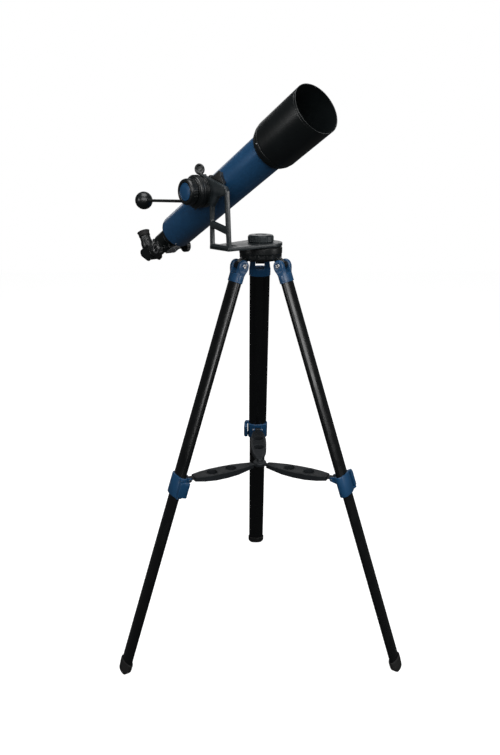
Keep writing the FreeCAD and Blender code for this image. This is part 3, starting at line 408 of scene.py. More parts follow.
def remap(tree, value, low, high, from_low=0.3, from_high=0.7):
    node = tree.nodes.new("ShaderNodeMapRange")
    set_sockets(node, {"From Min": from_low, "From Max": from_high, "To Min": low, "To Max": high})
    link(tree, value, node.inputs["Value"])
    return node.outputs["Result"]


def blend_colours(tree, factor, dark, light):
    node = tree.nodes.new("ShaderNodeMix")
    node.data_type = "RGBA"
    dark_socket, light_socket = [s for s in node.inputs if s.type == "RGBA"]
    dark_socket.default_value = (*dark, 1)
    light_socket.default_value = (*light, 1)
    link(tree, factor, node.inputs["Factor"])
    return [s for s in node.outputs if s.type == "RGBA"][0]


def bump(tree, height, distance, strength=1.0, normal=None):
    node = tree.nodes.new("ShaderNodeBump")
    set_sockets(node, {"Distance": distance, "Strength": strength})
    link(tree, height, node.inputs["Height"])
    if normal is not None:
        link(tree, normal, node.inputs["Normal"])
    return node.outputs["Normal"]


def tint(colour, factor):
    return tuple(min(1.0, channel * factor) for channel in colour)


def moulded(name, colour, roughness, grain=900.0, depth=0.00006, spread=0.25, specular=0.5, coat=0.0):
    """Injection-moulded surface: fine grain, slow colour drift and faint scuffs."""
    material, tree, shader = new_material(name)
    where = object_coordinates(tree)
    drift = remap(tree, noise(tree, where, 14.0, 3.0), 0, 1)
    scuff = noise(tree, object_coordinates(tree, (1, 1, 0.25)), 160.0, 6.0, 0.7)
    link(tree, blend_colours(tree, drift, tint(colour, 1 - spread), tint(colour, 1 + spread)),
         shader.inputs["Base Color"])
    link(tree, remap(tree, scuff, roughness - 0.03, roughness + 0.04), shader.inputs["Roughness"])
    fine = bump(tree, noise(tree, where, grain, 2.0), depth, 0.35)
    link(tree, bump(tree, scuff, 0.00002, 0.15, fine), shader.inputs["Normal"])
    set_sockets(shader, {"Specular IOR Level": specular, "Coat Weight": coat, "Coat Roughness": 0.15})
    return material


def metallic_paint(name, colour, fleck, metallic, roughness, coat):
    """Metallic lacquer: bright flakes in a coloured base under clear coat."""
    material, tree, shader = new_material(name)
    where = object_coordinates(tree)
    split = tree.nodes.new("ShaderNodeSeparateColor")
    link(tree, cells(tree, where, 2600.0, "Color"), split.inputs["Color"])
    sparkle = remap(tree, split.outputs["Red"], 0.0, 1.0, 0.5, 1.0)
    link(tree, blend_colours(tree, sparkle, colour, fleck), shader.inputs["Base Color"])
    smudge = noise(tree, where, 18.0, 5.0, 0.6)
    link(tree, remap(tree, smudge, roughness - 0.05, roughness + 0.06), shader.inputs["Roughness"])
    link(tree, bump(tree, noise(tree, where, 420.0, 2.0), 0.00003, 0.5), shader.inputs["Normal"])
    set_sockets(shader, {"Metallic": metallic, "Coat Weight": coat, "Coat Roughness": 0.12})
    return material


def brushed(name, colour, roughness, stretch=(900, 900, 14), metallic=1.0, specular=0.5):
    """Drawn or machined metal: long fine lines along the piece's own Z."""
    material, tree, shader = new_material(name)
    lines = noise(tree, object_coordinates(tree, stretch), 1.0, 4.0, 0.6)
    cloud = noise(tree, object_coordinates(tree), 30.0, 4.0)
    link(tree, blend_colours(tree, remap(tree, lines, 0, 1), tint(colour, 0.72), tint(colour, 1.25)),
         shader.inputs["Base Color"])
    link(tree, remap(tree, cloud, roughness - 0.06, roughness + 0.08), shader.inputs["Roughness"])
    link(tree, bump(tree, lines, 0.00003, 0.5), shader.inputs["Normal"])
    set_sockets(shader, {"Metallic": metallic, "Specular IOR Level": specular})
    return material


def crinkle(name, colour, edge, roughness, scale=1500.0, depth=0.00012):
    """Fine crinkle enamel on a casting."""
    material, tree, shader = new_material(name)
    where = object_coordinates(tree)
    link(tree, blend_colours(tree, remap(tree, noise(tree, where, 25.0, 5.0), 0, 1), colour, edge),
         shader.inputs["Base Color"])
    link(tree, remap(tree, noise(tree, where, 90.0, 4.0), roughness - 0.06, roughness + 0.08),
         shader.inputs["Roughness"])
    link(tree, bump(tree, cells(tree, where, scale), depth, 0.35), shader.inputs["Normal"])
    return material


def coated_glass(name):
    """Multi-coated lens: clear glass with a green-violet surface sheen."""
    material, tree, shader = new_material(name)
    facing = tree.nodes.new("ShaderNodeLayerWeight")
    facing.inputs["Blend"].default_value = 0.35
    wipe = noise(tree, object_coordinates(tree), 60.0, 5.0)
    link(tree, blend_colours(tree, facing.outputs["Facing"], (0.55, 0.8, 0.66), (0.6, 0.5, 0.85)),
         shader.inputs["Base Color"])
    link(tree, remap(tree, wipe, 0.01, 0.05), shader.inputs["Roughness"])
    set_sockets(shader, {"Transmission Weight": 0.85, "IOR": 1.52, "Coat Weight": 0.6,
                         "Coat Roughness": 0.02})
    return material


def mirror_coat(name):
    material, tree, shader = new_material(name)
    haze = noise(tree, object_coordinates(tree), 80.0, 4.0)
    link(tree, remap(tree, haze, 0.02, 0.06), shader.inputs["Roughness"])
    link(tree, blend_colours(tree, haze, (0.85, 0.86, 0.88), (0.95, 0.95, 0.97)),
         shader.inputs["Base Color"])
    shader.inputs["Metallic"].default_value = 1.0
    return material


def make_materials():
    return {
        "leg_black": brushed("anodised_leg", (0.0030, 0.0034, 0.0036), 0.24, metallic=0.0,
                             specular=0.42),
        "tube_blue": metallic_paint("blue_lacquer", (0.009, 0.050, 0.128), (0.030, 0.135, 0.29), 0.3,
                                    0.34, 0.3),
        "blue_plastic": moulded("blue_moulding", (0.007, 0.047, 0.115), 0.34, 700.0, 0.00003,
                                spread=0.18),
        "black_plastic": moulded("black_moulding", (0.0030, 0.0042, 0.0046), 0.33, 800.0, 0.00002,
                                 specular=0.45),
        "black_metal": crinkle("black_enamel", (0.0040, 0.0050, 0.0054), (0.008, 0.009, 0.0095), 0.36),
        "bracket_grey": crinkle("bracket_enamel", (0.008, 0.011, 0.0125), (0.016, 0.021, 0.0235), 0.31,
                                depth=0.00005),
        "spreader_grey": moulded("grey_moulding", (0.010, 0.012, 0.014), 0.5, 600.0, specular=0.3),
        "rubber": moulded("boot_rubber", (0.009, 0.009, 0.009), 0.72, 500.0, 0.0001, 0.3, 0.3),
        "steel": brushed("plated_steel", (0.55, 0.55, 0.56), 0.28, (400, 400, 400)),
        "cover_grey": crinkle("blasted_alloy", (0.10, 0.105, 0.11), (0.15, 0.155, 0.16), 0.45),
        "brass": brushed("machined_brass", (0.62, 0.44, 0.18), 0.3, (500, 500, 60)),
        "lens_glass": coated_glass("coated_lens"),
        "mirror": mirror_coat("first_surface_mirror"),
    }


def dress_frame():
    """Every CAD node takes the finish of its slot in the record."""
    slots = {part["node"]: part["material_slot"] for part in frame["record"]["subparts"]}
    for name, node in frame["nodes"].items():
        node.data.materials.clear()
        node.data.materials.append(MATERIALS[slots[name]])


# ---------------- optical tube

def tube_shells(mesh):
    hoop(mesh, [(-252, 46.4), (-252, 48), (211, 48), (211, 46.4)], 0.5, ALONG_X, 160)


def shade_shells(mesh):
    """Rear ring, shoulder, long shell with a rolled lip, and the bore behind it."""
    hoop(mesh, [(220, 55.2, 0.2), (220, 57.2, 1.2), (224.5, 57.6, 0.8), (226.5, 59.6, 1.0),
                (233.5, 59.9, 0.5), (234.2, 59.0, 0.2), (235.4, 59.0, 0.2), (236.2, 61.2, 1.4),
                (240, 61.4, 1), (375.5, 61.4, 0.2), (376, 61.0, 0.2), (377, 61.0, 0.2),
                (377.5, 61.4, 0.2), (382, 61.4, 0.9), (382, 59.4, 0.9), (226, 59.4, 0.3),
                (226, 55.2, 0.2)], 0.4, ALONG_X, 192)


def shade_screw_shells(mesh):
    for angle in (-152, -122, -32, 88):
        screw(mesh, 2.0, 1.1, spun(angle, "X") @ at(229.8, 0, 59.2))


def cell_shells(mesh):
    hoop(mesh, [(196, 46.2), (211, 46.2), (211, 52.3), (214.5, 54.8), (226, 54.8), (226, 59.2),
                (248.5, 59.2), (250, 57.5), (250, 50), (247, 48.5), (246.4, 46.5), (222, 46.5),
                (222, 43.5), (196, 43.5)], 0.5, ALONG_X, 128)


def retainer_shells(mesh):
    hoop(mesh, [(240.2, 43.6), (240.2, 46.3), (244.5, 46.3), (244.5, 45), (243, 43.6)], 0.3, ALONG_X,
         128)


def focuser_shells(mesh):
    hoop(mesh, [(-238, 46.2), (-252, 46.2), (-252, 47.6, 0.6), (-255.6, 47.4, 1.2), (-258.6, 40, 2),
                (-262, 33.5, 3), (-266, 30.5, 2), (-284, 29.9, 0.3), (-284.6, 29.2, 0.2),
                (-285.8, 29.2, 0.2), (-286.4, 29.8, 0.3), (-320, 29.6, 0.3), (-320.6, 28.9, 0.2),
                (-321.8, 28.9, 0.2), (-322.4, 29.6, 0.3), (-341, 29.5, 1), (-345, 27.4, 1),
                (-345, 20.3, 0.4), (-256, 20.3), (-246, 43), (-238, 43)], 0.5, ALONG_X, 128)
    gearbox = soften([(-321, -22), (-319, -37), (-286, -37), (-282, -22)], 2.5)
    slab(mesh, gearbox, -22, 22, 1.6, matrix=UPRIGHT)
    for side in (-1, 1):
        boss = at(PINION_S, side * 21, PINION_P, sideways(side))
        lathe(mesh, [(0, 0, 0), (0, 8.6), (10.5, 7.6), (10.5, 0, 0)], 0.8, boss, 48)
    lathe(mesh, [(21, 0, 0), (21, 7), (30.2, 6.6), (30.2, 0, 0)], 0.7, at(-275, 0, 0), 40)


def focuser_screw_shells(mesh):
    for angle in (30, 150, 270):
        screw(mesh, 2.1, 1.3, spun(angle, "X") @ at(-246.5, 0, 47.4))


def cover_shells(mesh):
    outline = rounded_box(40, 34, 4)
    slab(mesh, outline, 0, 3, 0.9, matrix=at(PINION_S + 1.5, 0, PINION_P - 9, ALONG_MINUS_Z))
    slab(mesh, rounded_box(30, 7, 2), 2.6, 3.5, 0.4,
         matrix=at(PINION_S + 1.5, 0, PINION_P - 9, ALONG_MINUS_Z))


def cover_screw_shells(mesh):
    for offset in (-12.0, 14.0):
        screw(mesh, 3.0, 1.6, at(PINION_S + offset, 0, PINION_P - 12.0, ALONG_MINUS_Z))


def drawtube_shells(mesh):
    profile = soften([
        (-232, 18), (-232, 20), (-365.5, 20, 0.4), (-367.5, 23.7, 0.8), (-371, 24, 0.3),
        (-371.6, 23.3, 0.2), (-373, 23.3, 0.2), (-373.6, 24, 0.3), (-386.4, 24, 0.3),
        (-387, 23.3, 0.2), (-388, 23.3, 0.2), (-388.6, 24, 0.3), (-391, 24, 0.6), (-392, 23),
        (-392, 15.95), (-372, 15.95), (-372, 18)], 0.4)

    def knurl(along, radius, angle):
        inside_band = -386 < along < -374 and radius > 23.5
        return radius - (0.35 * (0.5 + 0.5 * math.cos(48 * angle)) if inside_band else 0.0)

    turned(mesh, profile, ALONG_X, 192, knurl)


def knurled_head(mesh, start, matrix, radius=4.6, height=8.4, ribs=16):
    """Small thumbscrew: shank, collar, ribbed head with a domed end."""
    profile = soften([
        (start - 6, 0, 0), (start - 6, 1.95), (start - 1, 1.95), (start - 1, 3.0), (start, 3.0),
        (start, radius, 0.5), (start + 1.2, radius, 0.2), (start + height - 2, radius, 0.4),
        (start + height - 0.6, radius - 1), (start + height, 2.4, 1), (start + height, 0, 0)], 0.3,
        closed=False)

    def ribbed(along, reach, angle):
        on_rim = start + 0.6 < along < start + height - 1.8 and reach > radius - 0.3
        return reach - (0.45 * (0.5 + 0.5 * math.cos(ribs * angle)) if on_rim else 0.0)

    turned(mesh, profile, matrix, ribs * 6, ribbed, closed=False)


def lock_screw_shells(mesh):
    knurled_head(mesh, 32.2, at(-275, 0, 0))


def drawtube_screw_shells(mesh):
    knurled_head(mesh, 24.9, at(-381, 0, 0))


def eyepiece_screw_shells(mesh):
    knurled_head(mesh, 20.8, at(EYEPIECE_S, 0, 33, ALONG_MINUS_X))


def focus_knob_shells(mesh):
    def ribbed(along, radius, angle):
        on_rim = 2.6 < along < 13.2 and radius > 18.3
        return radius - (0.75 * max(0.0, math.cos(26 * angle)) if on_rim else 0.0)

    profile = soften([
        (-2.5, 2.5), (-2.5, 9), (0, 9.2), (0, 17.6), (1.2, 18.6), (2.5, 18.8), (2.8, 18.8), (13, 18.8),
        (13.3, 18.8), (14.4, 18.2), (15, 17.0), (15, 14.9), (14.1, 14.5), (14.1, 9.1), (15, 8.7),
        (15, 2.5)], 0.4)
    for side in (-1, 1):
        turned(mesh, profile, at(PINION_S, side * 43, PINION_P, sideways(side)), 208, ribbed)


def knob_ring_shells(mesh):
    """Bright trim ring let into each focus knob's face."""
    for side in (-1, 1):
        matrix = at(PINION_S, side * 57.0, PINION_P, sideways(side))
        hoop(mesh, [(0, 9.2), (0, 14.4), (0.9, 14.2), (0.9, 9.4)], 0.3, matrix, 96)


def diagonal_shells(mesh):
    body = soften([
        (-396, -20.5, 5), (-396, 20, 2), (-441, 20, 3), (-444.5, 15.5, 3), (-444.5, 8, 6),
        (-421, -17.5, 9), (-412, -22, 6)], 2, steps=6)
    # These outlines run clockwise, so their edges flare outwards a little.
    slab(mesh, list(reversed(body)), -19.5, 19.5, 3.2, matrix=UPRIGHT, steps=4)
    for side in (-1, 1):
        panel = soften([(-400, -16), (-400, 15), (-438, 15), (-438, 9), (-417, -14), (-411, -16)], 3,
                       steps=5)
        slab(mesh, list(reversed(panel)), 0, 0.8, 0.4,
             matrix=at(0, 19.7 * side + 0.4, 0, UPRIGHT))
    lathe(mesh, [(16, 0, 0), (16, 18.6), (20, 19), (38.6, 19), (39.2, 18.3, 0.2), (40.2, 18.3, 0.2),
                 (40.8, 19), (42, 18.2), (42, 15.95), (30, 15.95), (30, 0, 0)], 0.4,
                 at(EYEPIECE_S, 0, 0), 96)
    lathe(mesh, [(-397, 0, 0), (-397, 15.8), (-374, 15.8), (-374, 14), (-390, 14), (-390, 0, 0)], 0.3,
          ALONG_X, 96)
    lathe(mesh, [(17, 0, 0), (17, 4.6), (20.4, 4.3), (20.4, 0, 0)], 0.4,
          at(EYEPIECE_S, 0, 33, ALONG_MINUS_X), 32)


def eyepiece_shells(mesh):
    def gripped(along, radius, angle):
        on_band = 47.5 < along < 58.5 and radius > 16.3
        return radius - (0.3 * max(0.0, math.cos(36 * angle)) if on_band else 0.0)

    hoop(mesh, [(13.5, 15), (16, 15.875), (42.4, 15.875), (42.4, 17.6), (45, 17.6), (46, 16.7),
                (47.2, 16.6), (47.8, 16.6), (58.2, 16.6), (58.8, 16.6), (60, 16.6), (61.8, 15.2),
                (70, 15.2), (70, 10.5), (60, 10.5), (58, 13.5), (13.5, 13.5)], 0.4,
                at(EYEPIECE_S, 0, 0), 216, gripped)


def eyecup_shells(mesh):
    hoop(mesh, [(62.4, 15.2), (62.4, 18.1), (64, 18.2, 0.3), (64.5, 17.6, 0.2), (65.6, 17.6, 0.2),
                (66.1, 18.0, 0.3), (68, 17.6), (68.6, 17.3, 0.2), (69.6, 17.5, 0.2), (70.2, 18.0, 0.3),
                (73.5, 18.6, 4), (77, 20.2, 0.8), (77, 18, 0.9), (72.5, 16.2, 3), (70, 15.2)], 0.5,
                at(EYEPIECE_S, 0, 0), 128)


def bar_shells(mesh):
    section = soften([(-56.7, -20.1), (-50.2, -16.3), (-50.2, -15.5), (-46.6, -15.5, 0.2),
                      (-46.6, 15.5, 0.2), (-50.2, 15.5), (-50.2, 16.3), (-56.7, 20.1)], 0.5)
    slab(mesh, anticlockwise(section), -70, 72, 1.0, matrix=ALONG_X)


# ---------------- mount

def saddle_shells(mesh):
    section = soften([(-61.3, -26), (-50.2, -26), (-50.2, -16.9), (-57.1, -20.7), (-57.1, 20.7),
                      (-50.2, 16.9), (-50.2, 26), (-61.3, 26)], 1.0)
    slab(mesh, anticlockwise(section), -38, 38, 1.4, matrix=ALONG_X)
    block = soften([(-61.3, 20), (-50.2, 20), (-48.5, 42), (-61.3, 42)], 1.6)
    slab(mesh, anticlockwise(block), -13, 13, 1.8, matrix=ALONG_X)
    for side in (-1, 1):
        rib = soften([(-61.3, 24), (-51, 24), (-57.5, 38), (-61.3, 38)], 0.6)
        slab(mesh, anticlockwise(rib), side * 16 - 1.5, side * 16 + 1.5, 0.5, matrix=ALONG_X)


def thumbscrew_shells(mesh):
    place = at(0, -54.7, 0)
    lathe(mesh, [(21.5, 0, 0), (21.5, 2.9), (42.4, 2.9), (42.4, 5.2), (48, 5.0), (50.5, 3.8),
                 (50.5, 0, 0)], 0.5, place, 48)
    paddle = Matrix.Translation((0, -54.7, 0)) @ spun(45.0) @ UPRIGHT
    slab(mesh, ellipse(13.3, 15.3, 62, 48), -4.3, 4.3, 3.9, [ellipse(6.2, 6.8, 64, 32)], paddle,
         steps=5)
    slab(mesh, circle(7.4, 40, 0, 64), -1.8, 1.8, 1.2, matrix=paddle)


def housing_shells(mesh):
    hoop(mesh, [(73.7, 8.1), (73.7, 40), (77.2, 40), (78.2, 37), (80.7, 37), (81.7, 39.5),
                (84.7, 39.5), (84.7, 8.1)], 0.7, ALONG_MINUS_Y, 128)


def hub_shells(mesh):
    hoop(mesh, [(85, 8), (85, 40), (87, 41.6), (90.2, 41.6, 0.2), (90.8, 40.9, 0.2), (91.8, 40.9, 0.2),
                (92.4, 41.6, 0.2), (97, 41.6, 0.8), (98.5, 38.8, 1.2), (101, 37.6), (102, 34.2),
                (104.2, 34), (104.2, 8)], 0.8, ALONG_MINUS_Y, 160)
    lathe(mesh, [(28, 0, 0), (28, 5.3), (44, 5.3), (50, 5.1, 1.2), (50, 0, 0)], 1.0,
          at(0, HANDLE_SIDE, HANDLE_DROP, ALONG_MINUS_X), 48)


def fluted_rim(count, depth, low, high, limit, sharp=1.0):
    """Shape for a turned knob: finger grooves between two levels, fading at both ends."""
    def shape(along, radius, angle):
        if not low < along < high or radius < limit:
            return radius
        fade = min(1.0, (along - low) / 1.6, (high - along) / 1.6)
        wave = max(0.0, math.cos(count * angle)) ** sharp
        return radius - depth * fade * wave
    return shape


def altitude_knob_shells(mesh):
    hoop(mesh, [(104.8, 6.05), (104.8, 30.5), (107, 33), (108, 33, 0.1), (109.8, 33, 0.1),
                (119.5, 33, 0.1), (121.2, 33), (125.5, 31.5, 1.6), (126.8, 28.5, 1.2), (126.8, 24),
                (124.6, 22.9), (123.8, 22.7), (123.8, 6.05)], 0.6, ALONG_MINUS_Y, 240,
                fluted_rim(24, 0.7, 106.4, 121.0, 31.0, 1.4))


def altitude_cap_shells(mesh):
    lathe(mesh, [(123.6, 0, 0), (123.6, 22.4), (125.4, 22.4, 0.5), (126.4, 21.4, 0.5),
                 (126.5, 19.4, 0.3), (126.1, 18.7, 0.2), (126.3, 17.9, 0.3), (127.2, 12, 5),
                 (127.4, 0, 0)], 0.4, ALONG_MINUS_Y, 128)


def azimuth_knob_shells(mesh):
    profile = soften([
        (1220.3, 6.05), (1220.3, 33.4), (1222.8, 35.4), (1223.6, 35.4, 0.1), (1233, 35.4, 0.1),
        (1235.4, 35.4, 0.5), (1238.9, 33, 1.5), (1239.9, 30.4, 1), (1239.9, 17.5, 0.6),
        (1238.7, 15.4, 0.5), (1238.7, 0, 0)], 0.5, closed=False)
    turned(mesh, [Vector((1220.3, 0.0))] + profile[1:], ALONG_Z, 240,
           fluted_rim(24, 0.6, 1221.4, 1237.2, 33.9, 1.2), closed=False)


def handle_line():
    """Frame on the hub's boss whose Z runs out along the pan handle."""
    tilt = Matrix.Rotation(math.radians(-HANDLE_TILT), 4, "Y")
    return Matrix.Translation((0, HANDLE_SIDE, HANDLE_DROP)) @ tilt @ ALONG_MINUS_X


def handle_rod_shells(mesh):
    lathe(mesh, [(50.6, 0, 0), (50.6, 4), (234.8, 4), (234.8, 0, 0)], 0.4, handle_line(), 32)
    hoop(mesh, [(50.6, 2), (50.6, 5.6), (53.2, 5.6, 0.1), (53.6, 5.1, 0.1), (54.2, 5.1, 0.1),
                (54.6, 5.6, 0.1), (58.6, 5.6), (58.6, 2)], 0.5, handle_line(), 48)


def ball_shells(mesh):
    """Turned grip: a sphere with a short neck where the rod enters."""
    steps, reach, radius = 40, 251.0, 24.9
    arc = [(-radius * math.cos(math.pi * k / steps),
            radius * math.sin(math.pi * k / steps)) for k in range(steps + 1)]
    body = [Vector((reach + x, r)) for x, r in arc[:-1] if x > -radius + 1.4]
    neck = [Vector((reach - radius + 1.4, 0.0)), Vector((reach - radius + 0.1, 4.1)),
            Vector((reach - radius + 0.1, 6.0)), Vector((reach - radius + 1.0, 7.2))]
    turned(mesh, neck + body + [Vector((reach + radius, 0.0))], handle_line(), 96, closed=False)


def bracket_shells(mesh):
    """Cast arm with two windows, a slotted plate with a round end, and the toe between them."""
    base = PLATE_BASE
    disc = [(*point, 0) for point in arc(HUB_FORWARD, HUB_HEIGHT, HUB_RADIUS, 74, 324, 44)]
    outer = soften([(-30, base, 2), (49, base, 3), (42.2, base + 148, 6),
                    (36, base + 158.5, 5)] + disc, 2, steps=5)
    low_window = soften([(-20, base + 12.5), (39, base + 12.5), (37, base + 42), (-20.6, base + 55)],
                        2.6, steps=4)
    high_window = soften([(-21, base + 72), (36, base + 60), (32.5, base + 138), (4, base + 132),
                          (-17, base + 108)],
                         3.5, steps=4)
    slab(mesh, anticlockwise(outer), 141, 153, 2.8,
         [anticlockwise(low_window), anticlockwise(high_window)], UPRIGHT, steps=4)
    end = [(*point, 0) for point in arc(0, 0, PLATE_END_RADIUS, -14, 194, 40)]
    plate = soften([(-30, -153, 2.5), (49, -153, 2.5)] + end, 1.5, steps=4)
    slot = [Vector((10 + p.x, -112 + p.y)) for p in rounded_box(44, 16, 7.9, 8)]
    slab(mesh, anticlockwise(plate), base, base + 9, 1.1, [slot])
    toe = soften([(-152.6, base + 7), (-132, base + 7), (-133, base + 9.2, 1), (-140.6, base + 14, 3),
                  (-152.6, base + 14)],
                 0.5)
    slab(mesh, anticlockwise(toe), -28, 47.5, 0.8, matrix=ALONG_X)


# ---------------- tripod

def head_shells(mesh):
    lathe(mesh, [(1173, 0, 0), (1173, 51.5, 1), (1178, 56.5, 2), (1190, 57.8, 0.6), (1192.2, 58.9, 1),
                 (1205.6, 59, 0.6), (1210.6, 56.2, 1.2), (1210.6, 0, 0)], 1, ALONG_Z, 144)
    web = soften([(36.5, 1177), (54.5, 1183.6, 2), (77.9, 1164.5, 3), (78, 1162.3, 0), (55, 1162.3, 0),
                  (49, 1171.3, 2)],
                 1)
    for turn in (0, 120, 240):
        place = spun(turn) @ UPRIGHT
        slab(mesh, anticlockwise(web), -12.6, 12.6, 1.0, matrix=place)
        slab(mesh, circle(11.4, 40, HINGE_RADIUS, HINGE_HEIGHT), -12.6, 12.6, 0.8, matrix=place)
        for step in (-1, 0, 1):
            rib = spun(turn + 60 + step * 24) @ ALONG_X
            face = soften([(-8, 1178.6), (8, 1178.6), (9, 1190.4), (-9, 1190.4)], 2.0)
            slab(mesh, anticlockwise(face), 52.0, 57.4, 0.8, matrix=rib)


def cap_flank(z):
    """Half the yoke's width at a height along the leg."""
    return 30.9 - 6.5 * min(max((z + 32.0) / 48.0, 0.0), 1.0)


def cap_shells(mesh):
    """Yoke round the head's lug, and the socket that the leg tube sits in."""
    slot, reference = 13.2, 26.0
    for way in (-1, 1):
        heights = [0, -6, -12, -18, -24, -30, -35]
        cheek = [Vector((-15, z)) for z in heights] + [Vector((15, z)) for z in reversed(heights)]
        arch = arc(0, 0, 15, 0, 180, 24)[1:-1]
        outline = anticlockwise(list(cheek) + arch)
        low, high = (slot, reference) if way < 0 else (-reference, -slot)
        single = bmesh.new()
        slab(single, outline, low, high, 3.4, matrix=UPRIGHT, steps=5)
        for vertex in single.verts:
            if abs(vertex.co.y) > slot + 4.0:
                vertex.co.y += way * (cap_flank(vertex.co.z) - reference)
            blend = min(max((-4.0 - vertex.co.z) / 22.0, 0.0), 1.0)
            limit = 15.0 * (1.0 - blend) + blend * oval_reach(61.4, 28.0, 9.4, abs(vertex.co.y))
            vertex.co.x = min(max(vertex.co.x, -limit), limit)
        add_copy(mesh, single, ALONG_Z)
        seat = at(0, way * 25.4, 0, sideways(way))
        hoop(mesh, [(0, 7.0), (0, 9.6), (1.8, 9.2), (1.8, 7.2)], 0.4, seat, 48)
    slab(mesh, oval_section(61.8, 28.4, 9.6), -48, -24, 3.0, [], steps=5)
    slab(mesh, oval_section(62.0, 28.5, 9.7), -48, -43.5, 0.9, steps=3)


def hinge_shells(mesh):
    for way in (-1, 1):
        screw(mesh, 6.0, 2.6, at(0, way * 27.4, 0, sideways(way)), 0.3)
    turned(mesh, [(-27.5, 0), (-27.5, 3), (27.5, 3), (27.5, 0)], ALONG_Y, 24, closed=False)


def upper_leg_shells(mesh):
    slab(mesh, oval_section(*UPPER_TUBE, 14), -645, -32.5, 0.4, [oval_section(*UPPER_BORE, 14)],
         steps=1)


def lower_leg_shells(mesh):
    slab(mesh, oval_section(*LOWER_TUBE, 14), -1220.8, -558, 0.4, [oval_section(*LOWER_BORE, 14)],
         steps=1)


def clamp_shells(mesh):
    """Moulded collar with the lever's bosses near each end."""
    small = oval_section(54.2, 20.4, 5.6)
    slab(mesh, oval_section(65.6, 31.0, 12.4, 12), -670, -610, 2.2, [small], steps=4)
    for low in (-668, -617.5):
        boss = soften([(0, 26, 0), (13, 25, 0), (14.6, 40, 2.5), (11, 43, 2.5), (7.4, 40, 2.5),
                       (-1, 31, 2)], 1.5)
        slab(mesh, anticlockwise(boss), low, low + 5.5, 0.9)


def ear_shells(mesh):
    """Ears on the clamp for the spreader pin, in the spreader arm's frame."""
    for side in (-1, 1):
        ear = soften([(-6, -5.4, 4.5), (-6, 5.4, 4.5), (12, 10, 1), (16, -11, 1)], 2, steps=5)
        low, high = (9.6, 14.4) if side > 0 else (-14.4, -9.6)
        slab(mesh, anticlockwise(ear), low, high, 0.8, matrix=UPRIGHT)


def lever_shells(mesh):
    grip = soften([
        (13.8, 34.3, 1.2), (15.2, 44.6, 3), (-8, 45.8, 6), (-14, 45.0, 2), (-15.5, 40.6, 2),
        (-14, 34.2, 2)], 1.2, steps=5)
    slab(mesh, anticlockwise(grip), -662, -618, 1.6, steps=4)
    lathe(mesh, [(-662.2, 0, 0), (-662.2, 3.1), (-617.8, 3.1), (-617.8, 0, 0)], 0.5,
          at(LEVER_OUT, LEVER_ACROSS, 0), 32)
    for step in range(4):
        rib = soften([(-11.2 + step * 2.6, 42.2), (-9.8 + step * 2.6, 42.2),
                      (-9.8 + step * 2.6, 46.4 - step * 0.2), (-11.2 + step * 2.6, 46.4 - step * 0.2)],
                      0.4)
        slab(mesh, anticlockwise(rib), -658, -622, 0.5)


def foot_shells(mesh):
    """Rubber boot: ribbed cuff, body, and a tread that stays level with the floor."""
    slope = math.tan(math.radians(LEG_LEAN_DEGREES))
    end = LEG_END
    cuff = oval_section(58.6, 27.6, 9.5, 12)
    slab(mesh, cuff, end + 18, end + 33, 1.6, [oval_section(*LOWER_TUBE)], steps=4)
    body = oval_section(57.8, 26.6, 9.2, 12)
    levels = []
    for shrink, z in ((1.5, end + 31), (0, end + 29), (0.2, end + 12)):
        levels.append([Vector((p.x, p.y, z)) for p in inset(body, shrink)])
    for shrink, drop, taper in ((0.2, 3.4, 0.97), (0.6, 1.0, 0.88), (1.8, 0.1, 0.88)):
        ring = []
        for p in inset(body, shrink):
            lift = max(0.0, abs(p.y) - 18.0) * 0.9
            ring.append(Vector((p.x * taper, p.y, end - p.x * slope + drop + lift)))
        levels.append(ring)
    rings = [[mesh.verts.new(point) for point in ring] for ring in levels]
    for first, second in zip(rings, rings[1:]):
        bridge(mesh, first, second)
    mesh.faces.new(rings[0])
    mesh.faces.new(rings[-1])
    for z in (27, 22, 17):
        slab(mesh, oval_section(58.6, 27.6, 9.6, 12), end + z - 1.2, end + z + 1.2, 0.8,
             [oval_section(54.4, 23, 7.4, 12)], steps=2)


def hub_plate_shells(mesh):
    lathe(mesh, [(552, 0, 0), (552, 18), (554, 20), (562, 20), (564, 18), (564, 12, 0.8),
                 (565.5, 9.4, 1), (571, 8.6, 1), (574, 6.2, 1.4), (574.5, 0, 0)], 1, ALONG_Z, 96)


ARM_HALF_WIDTHS = ((-214.0, 9.5), (-188.0, 16.0), (-154.0, 22.5), (-117.0, 24.8), (-80.0, 24.8),
                   (-45.0, 21.0), (-17.0, 13.5))


def arm_belly(x):
    """How deep the arm's flange hangs at a place along it."""
    stations = ((-214, -6.2), (-188, -8), (-154, -11), (-112, -12.5), (-75, -12), (-40, -9.5),
                (-17, -7.2))
    for (x0, z0), (x1, z1) in zip(stations, stations[1:]):
        if x <= x1:
            return z0 + (z1 - z0) * max(0.0, (x - x0) / (x1 - x0))
    return stations[-1][1]


